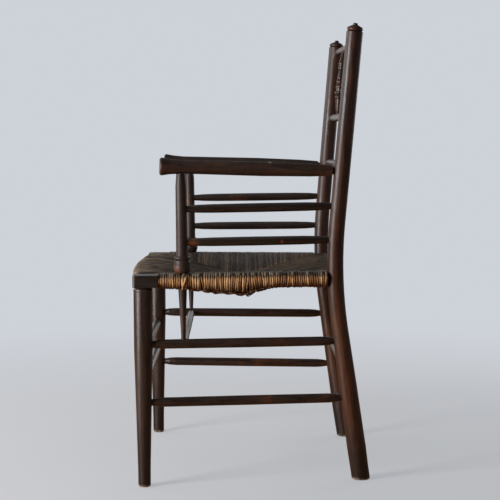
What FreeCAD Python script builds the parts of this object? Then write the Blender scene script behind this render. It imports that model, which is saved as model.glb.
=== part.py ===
# Rush-seated armchair of turned wood, millimetres.
# The chair faces -Y, +X is the sitter's left and +Z is up. The origin lies on the floor,
# under the middle of the chair. Every joint is a round tenon glued into a drilled socket.
import FreeCAD, Part
import Sketcher
import os
import re

Vector = FreeCAD.Vector

# Driving dimensions. Heights are measured from the floor, x from the middle plane.
SIZES = {
    "overall_height": 860.0,
    "seat_height": 398.5,
    # Front legs: axis, and radii from the foot up to the shoulder under the block
    "front_leg_x": 240.0,
    "front_leg_y": -198.2,
    "leg_foot_radius": 11.7,
    "leg_foot_round": 2.5,
    "leg_foot_swell": 0.6,
    "leg_ankle_height": 35.0,
    "leg_ankle_swell": 0.2,
    "leg_taper_height": 262.0,
    "leg_radius": 17.4,
    "leg_shoulder_radius": 13.0,
    "leg_shoulder_height": 9.0,
    "leg_shoulder_swell": 2.0,
    "leg_tenon_radius": 10.0,
    "leg_tenon_length": 16.0,
    # Corner blocks
    "block_width": 44.0,
    "block_depth": 47.0,
    "block_height": 22.5,
    "block_front_reach": 18.0,
    "block_corner_round": 5.0,
    "block_edge_round": 1.2,
    # Rear posts: straight foot and back, joined by a long bend at the seat
    "rear_foot_x": 191.0,
    "rear_top_x": 231.0,
    "rear_foot_y": 212.3,
    "rear_knee_y": 155.6,
    "rear_knee_height": 395.0,
    "rear_top_y": 194.3,
    "rear_bend_half": 100.0,
    "post_foot_radius": 17.3,
    "post_foot_round": 2.5,
    "post_calf_radius": 18.0,
    "post_calf_height": 62.0,
    "post_shin_radius": 16.9,
    "post_knee_radius": 15.2,
    "post_top_radius": 15.5,
    "post_head_radius": 15.4,
    # Finial on the post: a groove, a rounded cap with a sloping top, and a small knob
    "finial_groove_height": 2.2,
    "finial_groove_depth": 2.8,
    "finial_cap_radius": 14.8,
    "finial_cap_height": 6.4,
    "finial_cap_slope": 4.2,
    "finial_knob_radius": 4.5,
    "finial_knob_height": 3.4,
    # Seat rails and the rush that is wound over them
    "seat_rail_height": 20.0,
    "side_rail_width": 28.0,
    "front_rail_width": 28.0,
    "rear_rail_width": 22.0,
    "rear_rail_setback": 0.5,
    "front_rail_bow": 13.0,
    "rail_end_gap": 0.5,
    "seat_tenon_radius": 5.0,
    "rush_thickness": 4.2,
    "rush_dip": 4.0,
    "rush_bridge_half": 62.0,
    "rush_bridge_y": -19.2,
    "rush_clearance": 0.3,
    # Stretchers below the seat
    "side_stretcher_upper_height": 268.0,
    "side_stretcher_lower_height": 158.5,
    "side_stretcher_upper_radius": 9.1,
    "side_stretcher_lower_radius": 9.2,
    "front_stretcher_upper_height": 247.5,
    "front_stretcher_lower_height": 191.5,
    "front_stretcher_radius": 8.6,
    "rear_stretcher_height": 212.0,
    "rear_stretcher_radius": 8.6,
    "cross_stretcher_radius": 7.6,
    "cross_tenon_radius": 3.9,
    "stretcher_tenon_radius": 6.4,
    "stretcher_taper": 22.0,
    # Arms and what holds them
    "arm_rear_height": 589.0,
    "arm_front_height": 597.5,
    "arm_rear_radius": 10.0,
    "arm_rear_round": 3.0,
    "arm_swell_reach": 44.0,
    "arm_swell_radius": 12.1,
    "arm_middle_radius": 13.5,
    "arm_front_radius": 12.4,
    "arm_flare_radius": 16.5,
    "arm_flare_length": 42.0,
    "arm_end_round": 4.0,
    "arm_end_swell": 1.0,
    "arm_tenon_radius": 6.4,
    "arm_left_overhang": 39.0,
    "arm_right_overhang": 54.5,
    "support_foot_setback": 74.5,
    "support_top_setback": 71.6,
    "support_top_inset": 1.0,
    "support_foot_radius": 3.9,
    "support_rail_radius": 8.2,
    "support_bulb_lift": 0.4,
    "support_bulb_base_radius": 12.7,
    "support_bulb_base_swell": 1.5,
    "support_bulb_radius": 15.2,
    "support_bulb_belly": 14.0,
    "support_bulb_top_radius": 14.8,
    "support_bulb_top_swell": 0.4,
    "support_bulb_height": 22.4,
    "support_ring_radius": 14.2,
    "support_ring_height": 5.0,
    "support_ring_groove": 1.2,
    "support_shaft_radius": 11.0,
    "support_shaft_thinning": 0.7,
    "support_neck_length": 22.0,
    "support_neck_radius": 8.4,
    "support_tenon_radius": 5.6,
    "arm_rail_radius": 8.5,
    "arm_rail_tenon_radius": 6.2,
    "arm_rail_taper": 46.0,
    "arm_rail_upper_front_drop": 77.8,
    "arm_rail_upper_rear_drop": 65.5,
    "arm_rail_lower_front_drop": 139.5,
    "arm_rail_lower_rear_drop": 128.5,
    # Back: the middle rail stands at a share of the way from the lower to the top rail
    "back_rail_top_drop": 27.0,
    "back_rail_middle_share": 0.404,
    "back_rail_lower_rise": 7.5,
    "back_rail_top_radius": 6.4,
    "back_rail_middle_radius": 7.9,
    "back_rail_lower_radius": 7.9,
    "back_rail_tenon_radius": 5.4,
    "back_rail_taper": 45.0,
    "back_rail_bow": 10.0,
    "spindle_pitch": 112.0,
    "spindle_tenon_radius": 3.0,
    "spindle_stem_radius": 5.6,
    "spindle_stem_thinning": 0.8,
    "spindle_bead_radius": 7.4,
    "spindle_bead_swell": 1.6,
    "spindle_disc_radius": 9.7,
    "spindle_disc_swell": 0.9,
    "spindle_collar_radius": 8.1,
    "spindle_plate_radius": 9.3,
    "spindle_ball_radius": 6.8,
    "spindle_ball_swell": 2.0,
    "spindle_ring_radius": 7.7,
    "spindle_barrel_radius": 7.6,
    "spindle_score_depth": 0.9,
    "spindle_score_half": 0.8,
    "spindle_tip_radius": 4.2,
    # Fits: glue clearance round a tenon and beyond its end, how far a tenon stays short of
    # the middle of the piece that it enters, the wood left between two tenons, and how far
    # a tenon's plain part stands out of its socket
    "fit": 0.1,
    "fit_end": 0.4,
    "tenon_stop": 2.5,
    "tenon_wall": 0.8,
    "spindle_tenon_stop": 1.2,
    "shoulder_gap": 0.6,
}

doc = FreeCAD.newDocument("armchair")
sheet = doc.addObject("Spreadsheet::Sheet", "Sizes")
places = doc.addObject("Spreadsheet::Sheet", "Places")
for row, (alias, size) in enumerate(SIZES.items(), start=1):
    sheet.set(f"A{row}", alias)
    sheet.set(f"B{row}", str(size))
    sheet.setAlias(f"B{row}", alias)
owner = {alias: "Sizes" for alias in SIZES}


def bound(text):
    """An expression with each known name tied to its sheet."""
    def tie(match):
        word = match.group(0)
        return f"{owner[word]}.{word}" if word in owner else word
    return re.sub(r"(?<![\w.])[a-z_]\w*", tie, str(text))


def place(alias, formula):
    """Keep a worked-out distance as a named cell of the second sheet."""
    row = sum(1 for sheet_name in owner.values() if sheet_name == "Places") + 1
    places.set(f"A{row}", alias)
    places.set(f"B{row}", "=" + bound(formula))
    places.setAlias(f"B{row}", alias)
    owner[alias] = "Places"
    return alias


def value(text):
    """The number that an expression has now."""
    result = sheet.evalExpression(bound(text))
    return float(getattr(result, "Value", result))


def between(start, end, along):
    """The point at a share along from start to end, as three expressions."""
    return tuple(f"(({a}) + (({b}) - ({a})) * ({along}))" for a, b in zip(start, end))


def length(start, end):
    """The distance between two points, as an expression."""
    squares = " + ".join(f"(({b}) - ({a})) ^ 2" for a, b in zip(start, end))
    return f"sqrt({squares})"


def mirrored(side, point):
    """The same point on the left (+1) or the right (-1) of the chair."""
    return (f"{side} * ({point[0]})", point[1], point[2])


def aim(obj, start, end):
    """Put an object's origin on start and turn its Z axis towards end."""
    base = "; ".join(f"{a}" for a in start)
    way = "; ".join(f"({b}) - ({a})" for a, b in zip(start, end))
    obj.setExpression("Placement", bound(
        f"create(<<placement>>; create(<<vector>>; {base}); "
        f"create(<<rotation>>; create(<<vector>>; 0; 0; 1); create(<<vector>>; {way})))"))


def aim_level(obj, start, end):
    """Like aim, for a level line: the object's Y axis stays upright."""
    base = "; ".join(f"{a}" for a in start)
    east, north = (f"(({end[axis]}) - ({start[axis]}))" for axis in (0, 1))
    obj.setExpression("Placement", bound(
        f"create(<<placement>>; create(<<vector>>; {base}); create(<<rotation>>; "
        f"create(<<vector>>; -{north}; {east}; 0); create(<<vector>>; 0; 0; 1); "
        f"create(<<vector>>; {east}; {north}; 0); <<ZXY>>))"))


def origin_plane(body, role):
    return next(f for f in body.Origin.OriginFeatures if f.Role == role)


def new_sketch(body, name, role):
    sketch = body.newObject("Sketcher::SketchObject", name)
    sketch.AttachmentSupport = [(origin_plane(body, role), "")]
    sketch.MapMode = "FlatFace"
    return sketch


def fix_number(sketch, kind, places_in_sketch, number):
    """Add a dimension to a sketch and bind it to an expression."""
    index = sketch.addConstraint(Sketcher.Constraint(kind, *places_in_sketch, value(number)))
    sketch.setExpression(f"Constraints[{index}]", bound(number))


def fix_point(sketch, line, end, across, up):
    """Hold one end of a line at a place measured from the sketch's origin."""
    if value(up) == 0.0:
        sketch.addConstraint(Sketcher.Constraint("PointOnObject", line, end, -1))
    else:
        fix_number(sketch, "DistanceY", (line, end), up)
    if value(across) == 0.0:
        sketch.addConstraint(Sketcher.Constraint("PointOnObject", line, end, -2))
    else:
        fix_number(sketch, "DistanceX", (line, end), across)


def draw_outline(sketch, corners):
    """Draw a closed outline. Each corner is (across, up) or (across, up, swell), where swell
    is how far the middle of the side that follows stands out from its straight line."""
    spots = [Vector(value(c[0]), value(c[1]), 0) for c in corners]
    ends = []
    for number, corner in enumerate(corners):
        start = spots[number]
        stop = spots[(number + 1) % len(spots)]
        if len(corner) == 3:
            chord = stop - start
            out = Vector(chord.y, -chord.x, 0).normalize()
            middle = (start + stop) * 0.5 + out * value(corner[2])
            side = sketch.addGeometry(Part.Arc(start, middle, stop), False)
            forward = sketch.getPoint(side, 1).distanceToPoint(start) < 1e-6
            ends.append((side, 1, 2) if forward else (side, 2, 1))
        else:
            side = sketch.addGeometry(Part.LineSegment(start, stop), False)
            ends.append((side, 1, 2))
    for number, (side, first, last) in enumerate(ends):
        following = ends[(number + 1) % len(ends)]
        sketch.addConstraint(Sketcher.Constraint("Coincident", side, last, following[0], following[1]))
    for number, (side, first, last) in enumerate(ends):
        corner = corners[number]
        fix_point(sketch, side, first, corner[0], corner[1])
        if len(corner) == 3:
            after = corners[(number + 1) % len(corners)]
            chord = f"((({after[0]}) - ({corner[0]})) ^ 2 + (({after[1]}) - ({corner[1]})) ^ 2)"
            swell = f"abs({corner[2]})"
            fix_number(sketch, "Radius", (side,), f"({chord} / 4 + {swell} ^ 2) / (2 * {swell})")


def turned(name, profile, start, end):
    """A turned piece: (distance from start, radius[, swell]) stations, spun about its axis."""
    body = doc.addObject("PartDesign::Body", name)
    sketch = new_sketch(body, name + "_profile", "XZ_Plane")
    corners = [("0", profile[0][0])]
    corners += [(station[1], station[0]) + tuple(station[2:]) for station in profile]
    corners.append(("0", profile[-1][0]))
    draw_outline(sketch, corners)
    spin = body.newObject("PartDesign::Revolution", name + "_turning")
    spin.Profile = sketch
    spin.ReferenceAxis = (sketch, ["V_Axis"])
    spin.Angle = 360
    aim(body, start, end)
    return body


# A rod's radius where its taper ends, as a share of the middle's radius. The taper is steeper at
# its thin end: after TAPER_BREAK of its length it has gained TAPER_GAIN of its radius.
PLUMP_SHARE = 0.96
TAPER_BREAK = 0.4
TAPER_GAIN = 0.66


def rod(name, start, end, enters, stops, radius, tenon_radius, taper):
    """A stretcher or rail between two axes: a round tenon at each end that swells to a plump middle.
    enters are the radii of the pieces at its ends, stops how far it stays short of their axes."""
    span = length(start, end)
    first = f"({enters[0]} + shoulder_gap)"
    last = f"({span} - ({enters[1]}) - shoulder_gap)"
    plump = f"({radius} * {PLUMP_SHARE})"
    waist = f"({tenon_radius} + ({plump} - {tenon_radius}) * {TAPER_GAIN})"
    profile = [
        (stops[0], tenon_radius),
        (first, tenon_radius),
        (f"({first} + {taper} * {TAPER_BREAK})", waist),
        (f"({first} + {taper})", plump),
        (f"({first} + {last}) / 2", radius),
        (f"({last} - {taper})", plump),
        (f"({last} - {taper} * {TAPER_BREAK})", waist),
        (last, tenon_radius),
        (f"({span} - {stops[1]})", tenon_radius),
    ]
    return turned(name, profile, start, end)


def drill(name, start, end, first, last, radius):
    """A drill: a cylinder on the line from start to end, from distance first to distance last."""
    tool = doc.addObject("Part::Cylinder", name)
    tool.setExpression("Radius", bound(f"{radius} + fit"))
    tool.setExpression("Height", bound(f"({last}) - ({first})"))
    span = length(start, end)
    aim(tool, between(start, end, f"({first}) / {span}"), end)
    return tool


sockets = {}


def socket(host, start, end, stop, reach, radius):
    """A blind socket in host for a tenon that starts at distance stop from the point start."""
    count = len(sockets.setdefault(host, [])) + 1
    tool = drill(f"{host}_socket_{count}", start, end, f"({stop}) - fit_end", f"({reach}) + drill_run_out",
                 radius)
    sockets[host].append(tool)


parts = {}


def joined(name, shapes):
    """Several shapes as one, or the one shape itself."""
    if len(shapes) == 1:
        return shapes[0]
    group = doc.addObject("Part::MultiFuse", name)
    group.Shapes = shapes
    return group


def finish(name, shape, extra_tools=()):
    """Cut a piece's sockets and give it the name that its file has."""
    tools = sockets.get(name, []) + list(extra_tools)
    if tools:
        cut = doc.addObject("Part::Cut", name + "_drilled")
        cut.Base = shape
        cut.Tool = joined(name + "_drillings", tools)
        shape = cut
    shape.Label = name
    parts[name] = shape


# Places that several pieces share
# round_share is how much of a half circle a rounded edge takes, and drill_run_out is how far
# a drilling tool stands out of the piece that it drills
place("round_share", "0.999")
place("drill_run_out", "12")
place("block_bottom", "seat_height - block_height")
place("block_front", "front_leg_y - block_front_reach")
place("block_back", "block_front + block_depth")
place("block_outer", "front_leg_x + block_width / 2")
place("block_inner", "front_leg_x - block_width / 2")
place("seat_rail_z", "block_bottom + block_height / 2")
place("finial_height", "finial_groove_height + finial_cap_height + finial_cap_slope + finial_knob_height")
place("post_top_z", "overall_height - finial_height")
place("foot_slope", "(rear_knee_y - rear_foot_y) / rear_knee_height")
place("back_slope", "(rear_top_y - rear_knee_y) / (post_top_z - rear_knee_height)")
place("splay_slope", "(rear_top_x - rear_foot_x) / post_top_z")
# The post lies in one plane, tilted outwards. There its two straight lengths are joined by an arc.
place("splay_stretch", "sqrt(1 + splay_slope ^ 2)")
place("lower_rake", "foot_slope / splay_stretch")
place("upper_rake", "back_slope / splay_stretch")
place("lower_stretch", "sqrt(1 + lower_rake ^ 2)")
place("upper_stretch", "sqrt(1 + upper_rake ^ 2)")
place("bend_angle", "atan(upper_rake) - atan(lower_rake)")
place("bend_radius", "rear_bend_half / tan(bend_angle / 2)")
place("bend_low_z", "rear_knee_height - rear_bend_half / lower_stretch / splay_stretch")
place("bend_high_z", "rear_knee_height + rear_bend_half / upper_stretch / splay_stretch")
place("bend_center_y", "rear_foot_y + foot_slope * bend_low_z + bend_radius / lower_stretch")
place("bend_center_z", "bend_low_z - bend_radius * lower_rake / lower_stretch / splay_stretch")
place("arm_rail_upper_rear_height", "arm_rear_height - arm_rail_upper_rear_drop")
place("arm_rail_lower_rear_height", "arm_rear_height - arm_rail_lower_rear_drop")
place("arm_rail_upper_front_height", "arm_front_height - arm_rail_upper_front_drop")
place("arm_rail_lower_front_height", "arm_front_height - arm_rail_lower_front_drop")
place("back_rail_top_height", "overall_height - back_rail_top_drop")
place("back_rail_lower_height", "arm_rear_height + back_rail_lower_rise")
place("back_rail_middle_height",
      "back_rail_lower_height + (back_rail_top_height - back_rail_lower_height) * back_rail_middle_share")
# Tenons that meet in one piece stop short of each other's sides.
place("seat_tenon_length", "block_width / 2 - leg_tenon_radius - 2 * tenon_wall")
place("seat_side_stop", "seat_tenon_radius + fit + fit_end + tenon_wall - rear_rail_setback")
place("arm_post_stop", "back_rail_tenon_radius + fit + fit_end + tenon_wall")
place("support_foot_stop", "cross_tenon_radius + fit + fit_end + tenon_wall")
place("cross_stop", "support_foot_radius + fit + fit_end + tenon_wall")


def post_point(height):
    """The rear post's axis at a height: two straight lines joined by an arc at the knee."""
    low = f"(rear_foot_y + foot_slope * ({height}))"
    high = f"(rear_knee_y + back_slope * (({height}) - rear_knee_height))"
    rise = f"((({height}) - bend_center_z) * splay_stretch)"
    bend = f"(bend_center_y - sqrt(abs(bend_radius ^ 2 - {rise} ^ 2)))"
    y = f"(({height}) < bend_low_z ? {low} : (({height}) > bend_high_z ? {high} : {bend}))"
    return (f"(rear_foot_x + splay_slope * ({height}))", y, f"({height})")


def named_point(name, point):
    """Keep a point's three coordinates as named cells and return their names."""
    return tuple(place(f"{name}_{axis}", formula) for axis, formula in zip("xyz", point))


POST_JOINTS = {
    "seat": "seat_rail_z",
    "upper_stretcher": "side_stretcher_upper_height",
    "lower_stretcher": "side_stretcher_lower_height",
    "rear_stretcher": "rear_stretcher_height",
    "arm": "arm_rear_height",
    "upper_arm_rail": "arm_rail_upper_rear_height",
    "lower_arm_rail": "arm_rail_lower_rear_height",
    "back_top": "back_rail_top_height",
    "back_middle": "back_rail_middle_height",
    "back_lower": "back_rail_lower_height",
}
post_at = {joint: named_point("post_" + joint, post_point(height)) for joint, height in POST_JOINTS.items()}


def leg_at(height):
    return ("front_leg_x", "front_leg_y", height)


# The arm support's foot stands on the upper side stretcher, its head is in the arm.
place("support_foot_share", "support_foot_setback / (post_upper_stretcher_y - front_leg_y)")
support_foot = named_point("support_foot_at", between(
    leg_at("side_stretcher_upper_height"), post_at["upper_stretcher"], "support_foot_share"))
support_top = named_point("support_top_at", (
    "front_leg_x - support_top_inset", "front_leg_y + support_top_setback", "arm_front_height"))
support_span = place("support_span", length(support_foot, support_top))


def support_at(height):
    """The arm support's axis at a height."""
    return between(support_foot, support_top,
                   f"(({height}) - support_foot_at_z) / (support_top_at_z - support_foot_at_z)")


support_upper = named_point("support_upper", support_at("arm_rail_upper_front_height"))
support_lower = named_point("support_lower", support_at("arm_rail_lower_front_height"))

# Back rails are rods bent backwards: an arc between two straight tapered ends. rail_bend_x is where
# the arc begins, and rail_aim is where the straight ends point to in the middle plane.
rail_aim = {}
for level in ("top", "middle", "lower"):
    post_x, post_y, post_z = post_at[f"back_{level}"]
    bend_x = place(f"rail_bend_x_{level}", f"{post_x} - post_top_radius - shoulder_gap - back_rail_taper")
    turn = place(f"rail_bend_radius_{level}", f"{bend_x} * ({post_x} - {bend_x} / 2) / back_rail_bow")
    drop = place(f"rail_bend_drop_{level}", f"sqrt({turn} ^ 2 - {bend_x} ^ 2)")
    slope = place(f"rail_end_slope_{level}", f"{bend_x} / {drop}")
    place(f"rail_center_y_{level}", f"{post_y} + {slope} * ({post_x} - {bend_x}) - {drop}")
    rail_aim[level] = ("0", place(f"rail_aim_y_{level}", f"{post_y} + {slope} * {post_x}"), post_z)

# Side seat rails lie so that the rush over them is flush with the corner blocks.
place("side_rail_front_x", "block_outer - side_rail_width / 2 - rush_thickness")
side_rail_front = ("side_rail_front_x", "block_back", "seat_rail_z")
side_rail_span = place("side_rail_span", length(side_rail_front, post_at["seat"]))
place("side_rail_skew", "(side_rail_front_x - post_seat_x) / (post_seat_y - block_back)")

# The front rail is an arc between the blocks. wide_turn is half of an angle that reaches into them.
place("bow_radius", "(block_inner ^ 2 + front_rail_bow ^ 2) / (2 * front_rail_bow)")
place("front_rail_end_y", "front_leg_y")
place("bow_center_y", "front_rail_end_y + bow_radius - front_rail_bow")
place("wide_turn", "asin((block_inner + block_width / 2) / bow_radius)")
place("rear_rail_y", "post_seat_y + rear_rail_setback")
doc.recompute()

# Front legs: turned, tapering from the stretchers to the foot, with a tenon up into the block
for side, hand in ((1, "left"), (-1, "right")):
    foot = mirrored(side, leg_at("0"))
    head = mirrored(side, leg_at("seat_height"))
    leg = turned(f"front_leg_{hand}_turning", [
        ("0", "leg_foot_radius - leg_foot_round", "leg_foot_swell"),
        ("leg_foot_round", "leg_foot_radius"),
        ("leg_ankle_height", "leg_foot_radius + leg_ankle_swell"),
        ("leg_taper_height", "leg_radius"),
        ("block_bottom - leg_shoulder_height", "leg_radius", "leg_shoulder_swell"),
        ("block_bottom", "leg_shoulder_radius"),
        ("block_bottom", "leg_tenon_radius"),
        ("block_bottom + leg_tenon_length", "leg_tenon_radius"),
    ], foot, head)
    for height in ("side_stretcher_upper_height", "side_stretcher_lower_height"):
        joint = "upper_stretcher" if "upper" in height else "lower_stretcher"
        socket(f"front_leg_{hand}", mirrored(side, leg_at(height)), mirrored(side, post_at[joint]),
               "tenon_stop", "leg_radius", "stretcher_tenon_radius")
    for height in ("front_stretcher_upper_height", "front_stretcher_lower_height"):
        socket(f"front_leg_{hand}", mirrored(side, leg_at(height)), mirrored(-side, leg_at(height)),
               "tenon_stop", "leg_radius", "stretcher_tenon_radius")
    finish(f"front_leg_{hand}", leg)

# Corner blocks: square blocks with a rounded outer corner, drilled for the leg and two seat rails
for side, hand in ((1, "left"), (-1, "right")):
    body = doc.addObject("PartDesign::Body", f"corner_block_{hand}_body")
    plan = new_sketch(body, f"corner_block_{hand}_plan", "XY_Plane")
    near, far = ("block_inner", "block_outer") if side > 0 else ("-block_outer", "-block_inner")
    draw_outline(plan, [(near, "block_front"), (far, "block_front"),
                        (far, "block_back"), (near, "block_back")])
    pad = body.newObject("PartDesign::Pad", f"corner_block_{hand}_pad")
    pad.Profile = plan
    pad.setExpression("Length", bound("block_height"))
    doc.recompute()
    outer_x = side * value("block_outer")
    front_y = value("block_front")
    upright = [f"Edge{number}" for number, edge in enumerate(pad.Shape.Edges, start=1)
               if abs(edge.CenterOfMass.x - outer_x) < 0.01 and abs(edge.CenterOfMass.y - front_y) < 0.01]
    corner = body.newObject("PartDesign::Fillet", f"corner_block_{hand}_corner")
    corner.Base = (pad, upright)
    corner.setExpression("Radius", bound("block_corner_round"))
    doc.recompute()
    top_z = value("block_height")
    rim = [f"Edge{number}" for number, edge in enumerate(corner.Shape.Edges, start=1)
           if abs(edge.BoundBox.ZMin - top_z) < 0.01]
    edge_round = body.newObject("PartDesign::Fillet", f"corner_block_{hand}_rim")
    edge_round.Base = (corner, rim)
    edge_round.setExpression("Radius", bound("block_edge_round"))
    body.setExpression("Placement.Base.z", bound("block_bottom"))
    socket(f"corner_block_{hand}", mirrored(side, leg_at("block_bottom + leg_tenon_length")),
           mirrored(side, leg_at("0")), "0", "leg_tenon_length", "leg_tenon_radius")
    tenon_end = ("block_inner + seat_tenon_length", "front_rail_end_y", "seat_rail_z")
    socket(f"corner_block_{hand}", mirrored(side, tenon_end), ("0", "front_rail_end_y", "seat_rail_z"),
           "0", "seat_tenon_length", "seat_tenon_radius")
    inside = between(side_rail_front, post_at["seat"], "-seat_tenon_length / side_rail_span")
    socket(f"corner_block_{hand}", mirrored(side, inside), mirrored(side, post_at["seat"]),
           "0", "seat_tenon_length", "seat_tenon_radius")
    finish(f"corner_block_{hand}", body)

# Rear posts: each is one bent piece, turned straight below and above the bend, with a finial
post_foot = named_point("post_foot", post_point("0"))
post_low = named_point("post_low", post_point("bend_low_z"))
post_high = named_point("post_high", post_point("bend_high_z"))
post_head = named_point("post_head", post_point("post_top_z"))
low_span = place("post_low_span", length(post_foot, post_low))
high_span = place("post_high_span", length(post_high, post_head))
calf = place("post_calf_along", "post_calf_height * post_low_span / bend_low_z")
groove_end = f"({high_span} + finial_groove_height)"
cap_end = f"({groove_end} + finial_cap_height)"
knob_start = f"({cap_end} + finial_cap_slope)"
doc.recompute()
for side, hand in ((1, "left"), (-1, "right")):
    name = f"rear_post_{hand}"
    lower = turned(f"{name}_lower", [
        ("-drill_run_out", "post_foot_radius"),
        ("drill_run_out", "post_foot_radius"),
        (calf, "post_calf_radius"),
        (f"({calf} + {low_span}) / 2", "post_shin_radius"),
        (low_span, "post_knee_radius"),
    ], mirrored(side, post_foot), mirrored(side, post_low))
    floor = doc.addObject("Part::Box", f"{name}_floor")
    for edge in ("Length", "Width", "Height"):
        floor.setExpression(edge, bound("6 * post_foot_radius"))
    floor.setExpression("Placement.Base.x", bound(f"{side} * rear_foot_x - 3 * post_foot_radius"))
    floor.setExpression("Placement.Base.y", bound("rear_foot_y - 3 * post_foot_radius"))
    floor.setExpression("Placement.Base.z", bound("-6 * post_foot_radius"))
    sawn = doc.addObject("Part::Cut", f"{name}_sawn")
    sawn.Base = lower
    sawn.Tool = floor
    doc.recompute()
    sole = min(range(len(sawn.Shape.Edges)), key=lambda n: sawn.Shape.Edges[n].BoundBox.ZMax)
    rounded = doc.addObject("Part::Fillet", f"{name}_rounded")
    rounded.Base = sawn
    rounded.Edges = [(sole + 1, value("post_foot_round"), value("post_foot_round"))]
    bend = doc.addObject("Part::Torus", f"{name}_bend")
    bend.setExpression("Radius1", bound("bend_radius"))
    bend.setExpression("Radius2", bound("post_knee_radius"))
    bend.setExpression("Angle3", bound("bend_angle"))
    bend.setExpression("Placement", bound(
        f"create(<<placement>>; create(<<vector>>; {side} * (rear_foot_x + splay_slope * bend_center_z); "
        f"bend_center_y; bend_center_z); create(<<rotation>>; "
        f"create(<<vector>>; {side} * splay_slope * lower_rake; -splay_stretch; lower_rake); "
        f"create(<<vector>>; {side} * splay_slope; 0; 1); create(<<vector>>; -1; 0; {side} * splay_slope); "
        f"<<ZXY>>))"))
    upper = turned(f"{name}_upper", [
        ("0", "post_knee_radius"),
        (f"{high_span} / 2", "post_top_radius"),
        (high_span, "post_head_radius"),
        (groove_end, "post_head_radius - finial_groove_depth"),
        (groove_end, "finial_cap_radius - finial_cap_height / 4", "finial_cap_height / 4"),
        (cap_end, "finial_cap_radius - finial_cap_height / 4"),
        (knob_start, "finial_knob_radius"),
        (f"{knob_start} + finial_knob_height / 2", "finial_knob_radius", "finial_knob_height / 8"),
        (f"{knob_start} + finial_knob_height", "finial_knob_radius / 2"),
    ], mirrored(side, post_high), mirrored(side, post_head))
    whole = joined(f"{name}_whole", [rounded, bend, upper])
    for joint, target, tenon, stop in (
        ("upper_stretcher", leg_at("side_stretcher_upper_height"), "stretcher_tenon_radius", "tenon_stop"),
        ("lower_stretcher", leg_at("side_stretcher_lower_height"), "stretcher_tenon_radius", "tenon_stop"),
        ("upper_arm_rail", support_upper, "arm_rail_tenon_radius", "tenon_stop"),
        ("lower_arm_rail", support_lower, "arm_rail_tenon_radius", "tenon_stop"),
        ("arm", support_top, "arm_tenon_radius", "arm_post_stop"),
        ("seat", side_rail_front, "seat_tenon_radius", "seat_side_stop"),
    ):
        socket(name, mirrored(side, post_at[joint]), mirrored(side, target), stop, "post_calf_radius", tenon)
    across = post_at["rear_stretcher"]
    socket(name, mirrored(side, across), mirrored(-side, across), "tenon_stop", "post_calf_radius",
           "stretcher_tenon_radius")
    rear_seat = (post_at["seat"][0], "rear_rail_y", "seat_rail_z")
    socket(name, mirrored(side, rear_seat), mirrored(-side, rear_seat), "tenon_stop", "post_knee_radius",
           "seat_tenon_radius")
    for level in ("top", "middle", "lower"):
        socket(name, mirrored(side, post_at[f"back_{level}"]), rail_aim[level],
               "tenon_stop", "post_top_radius", "back_rail_tenon_radius")
    finish(name, whole)

# Stretchers: turned rods that swell towards the middle
for side, hand in ((1, "left"), (-1, "right")):
    upper_start = mirrored(side, leg_at("side_stretcher_upper_height"))
    upper_end = mirrored(side, post_at["upper_stretcher"])
    upper = rod(f"side_stretcher_upper_{hand}_rod", upper_start, upper_end,
                ("leg_radius", "post_shin_radius"), ("tenon_stop", "tenon_stop"),
                "side_stretcher_upper_radius", "stretcher_tenon_radius", "stretcher_taper")
    foot = mirrored(side, support_foot)
    socket(f"side_stretcher_upper_{hand}", foot, mirrored(side, support_top), "support_foot_stop",
           "side_stretcher_upper_radius", "support_foot_radius")
    socket(f"side_stretcher_upper_{hand}", foot, mirrored(-side, support_foot), "cross_stop",
           "side_stretcher_upper_radius", "cross_tenon_radius")
    finish(f"side_stretcher_upper_{hand}", upper)
    lower = rod(f"side_stretcher_lower_{hand}_rod", mirrored(side, leg_at("side_stretcher_lower_height")),
                mirrored(side, post_at["lower_stretcher"]), ("leg_radius", "post_calf_radius"),
                ("tenon_stop", "tenon_stop"), "side_stretcher_lower_radius", "stretcher_tenon_radius",
                "stretcher_taper")
    finish(f"side_stretcher_lower_{hand}", lower)
for level in ("upper", "lower"):
    start = leg_at(f"front_stretcher_{level}_height")
    bar = rod(f"front_stretcher_{level}_rod", start, mirrored(-1, start), ("leg_radius", "leg_radius"),
              ("tenon_stop", "tenon_stop"), "front_stretcher_radius", "stretcher_tenon_radius",
              "stretcher_taper")
    finish(f"front_stretcher_{level}", bar)
start = post_at["rear_stretcher"]
bar = rod("rear_stretcher_rod", start, mirrored(-1, start), ("post_calf_radius", "post_calf_radius"),
          ("tenon_stop", "tenon_stop"), "rear_stretcher_radius", "stretcher_tenon_radius", "stretcher_taper")
finish("rear_stretcher", bar)
bar = rod("cross_stretcher_rod", support_foot, mirrored(-1, support_foot),
          ("side_stretcher_upper_radius", "side_stretcher_upper_radius"), ("cross_stop", "cross_stop"),
          "cross_stretcher_radius", "cross_tenon_radius", "stretcher_taper")
finish("cross_stretcher", bar)


# Seat rails: flat bars with rounded edges and a round tenon at each end, hidden in the rush
def slot_outline(sketch, middle, half_across, half_up):
    """A slot: a rectangle with two round ends, long in the sketch's direction across."""
    left = f"({middle} - {half_across} + {half_up})"
    right = f"({middle} + {half_across} - {half_up})"
    draw_outline(sketch, [
        (left, f"-({half_up})"),
        (right, f"-({half_up})", f"({half_up}) * round_share"),
        (right, half_up),
        (left, half_up, f"({half_up}) * round_share"),
    ])


def tenon_circle(sketch, radius):
    circle = sketch.addGeometry(Part.Circle(Vector(0, 0, 0), Vector(0, 0, 1), value(radius)), False)
    sketch.addConstraint(Sketcher.Constraint("Coincident", circle, 3, -1, 1))
    fix_number(sketch, "Radius", (circle,), radius)


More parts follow.
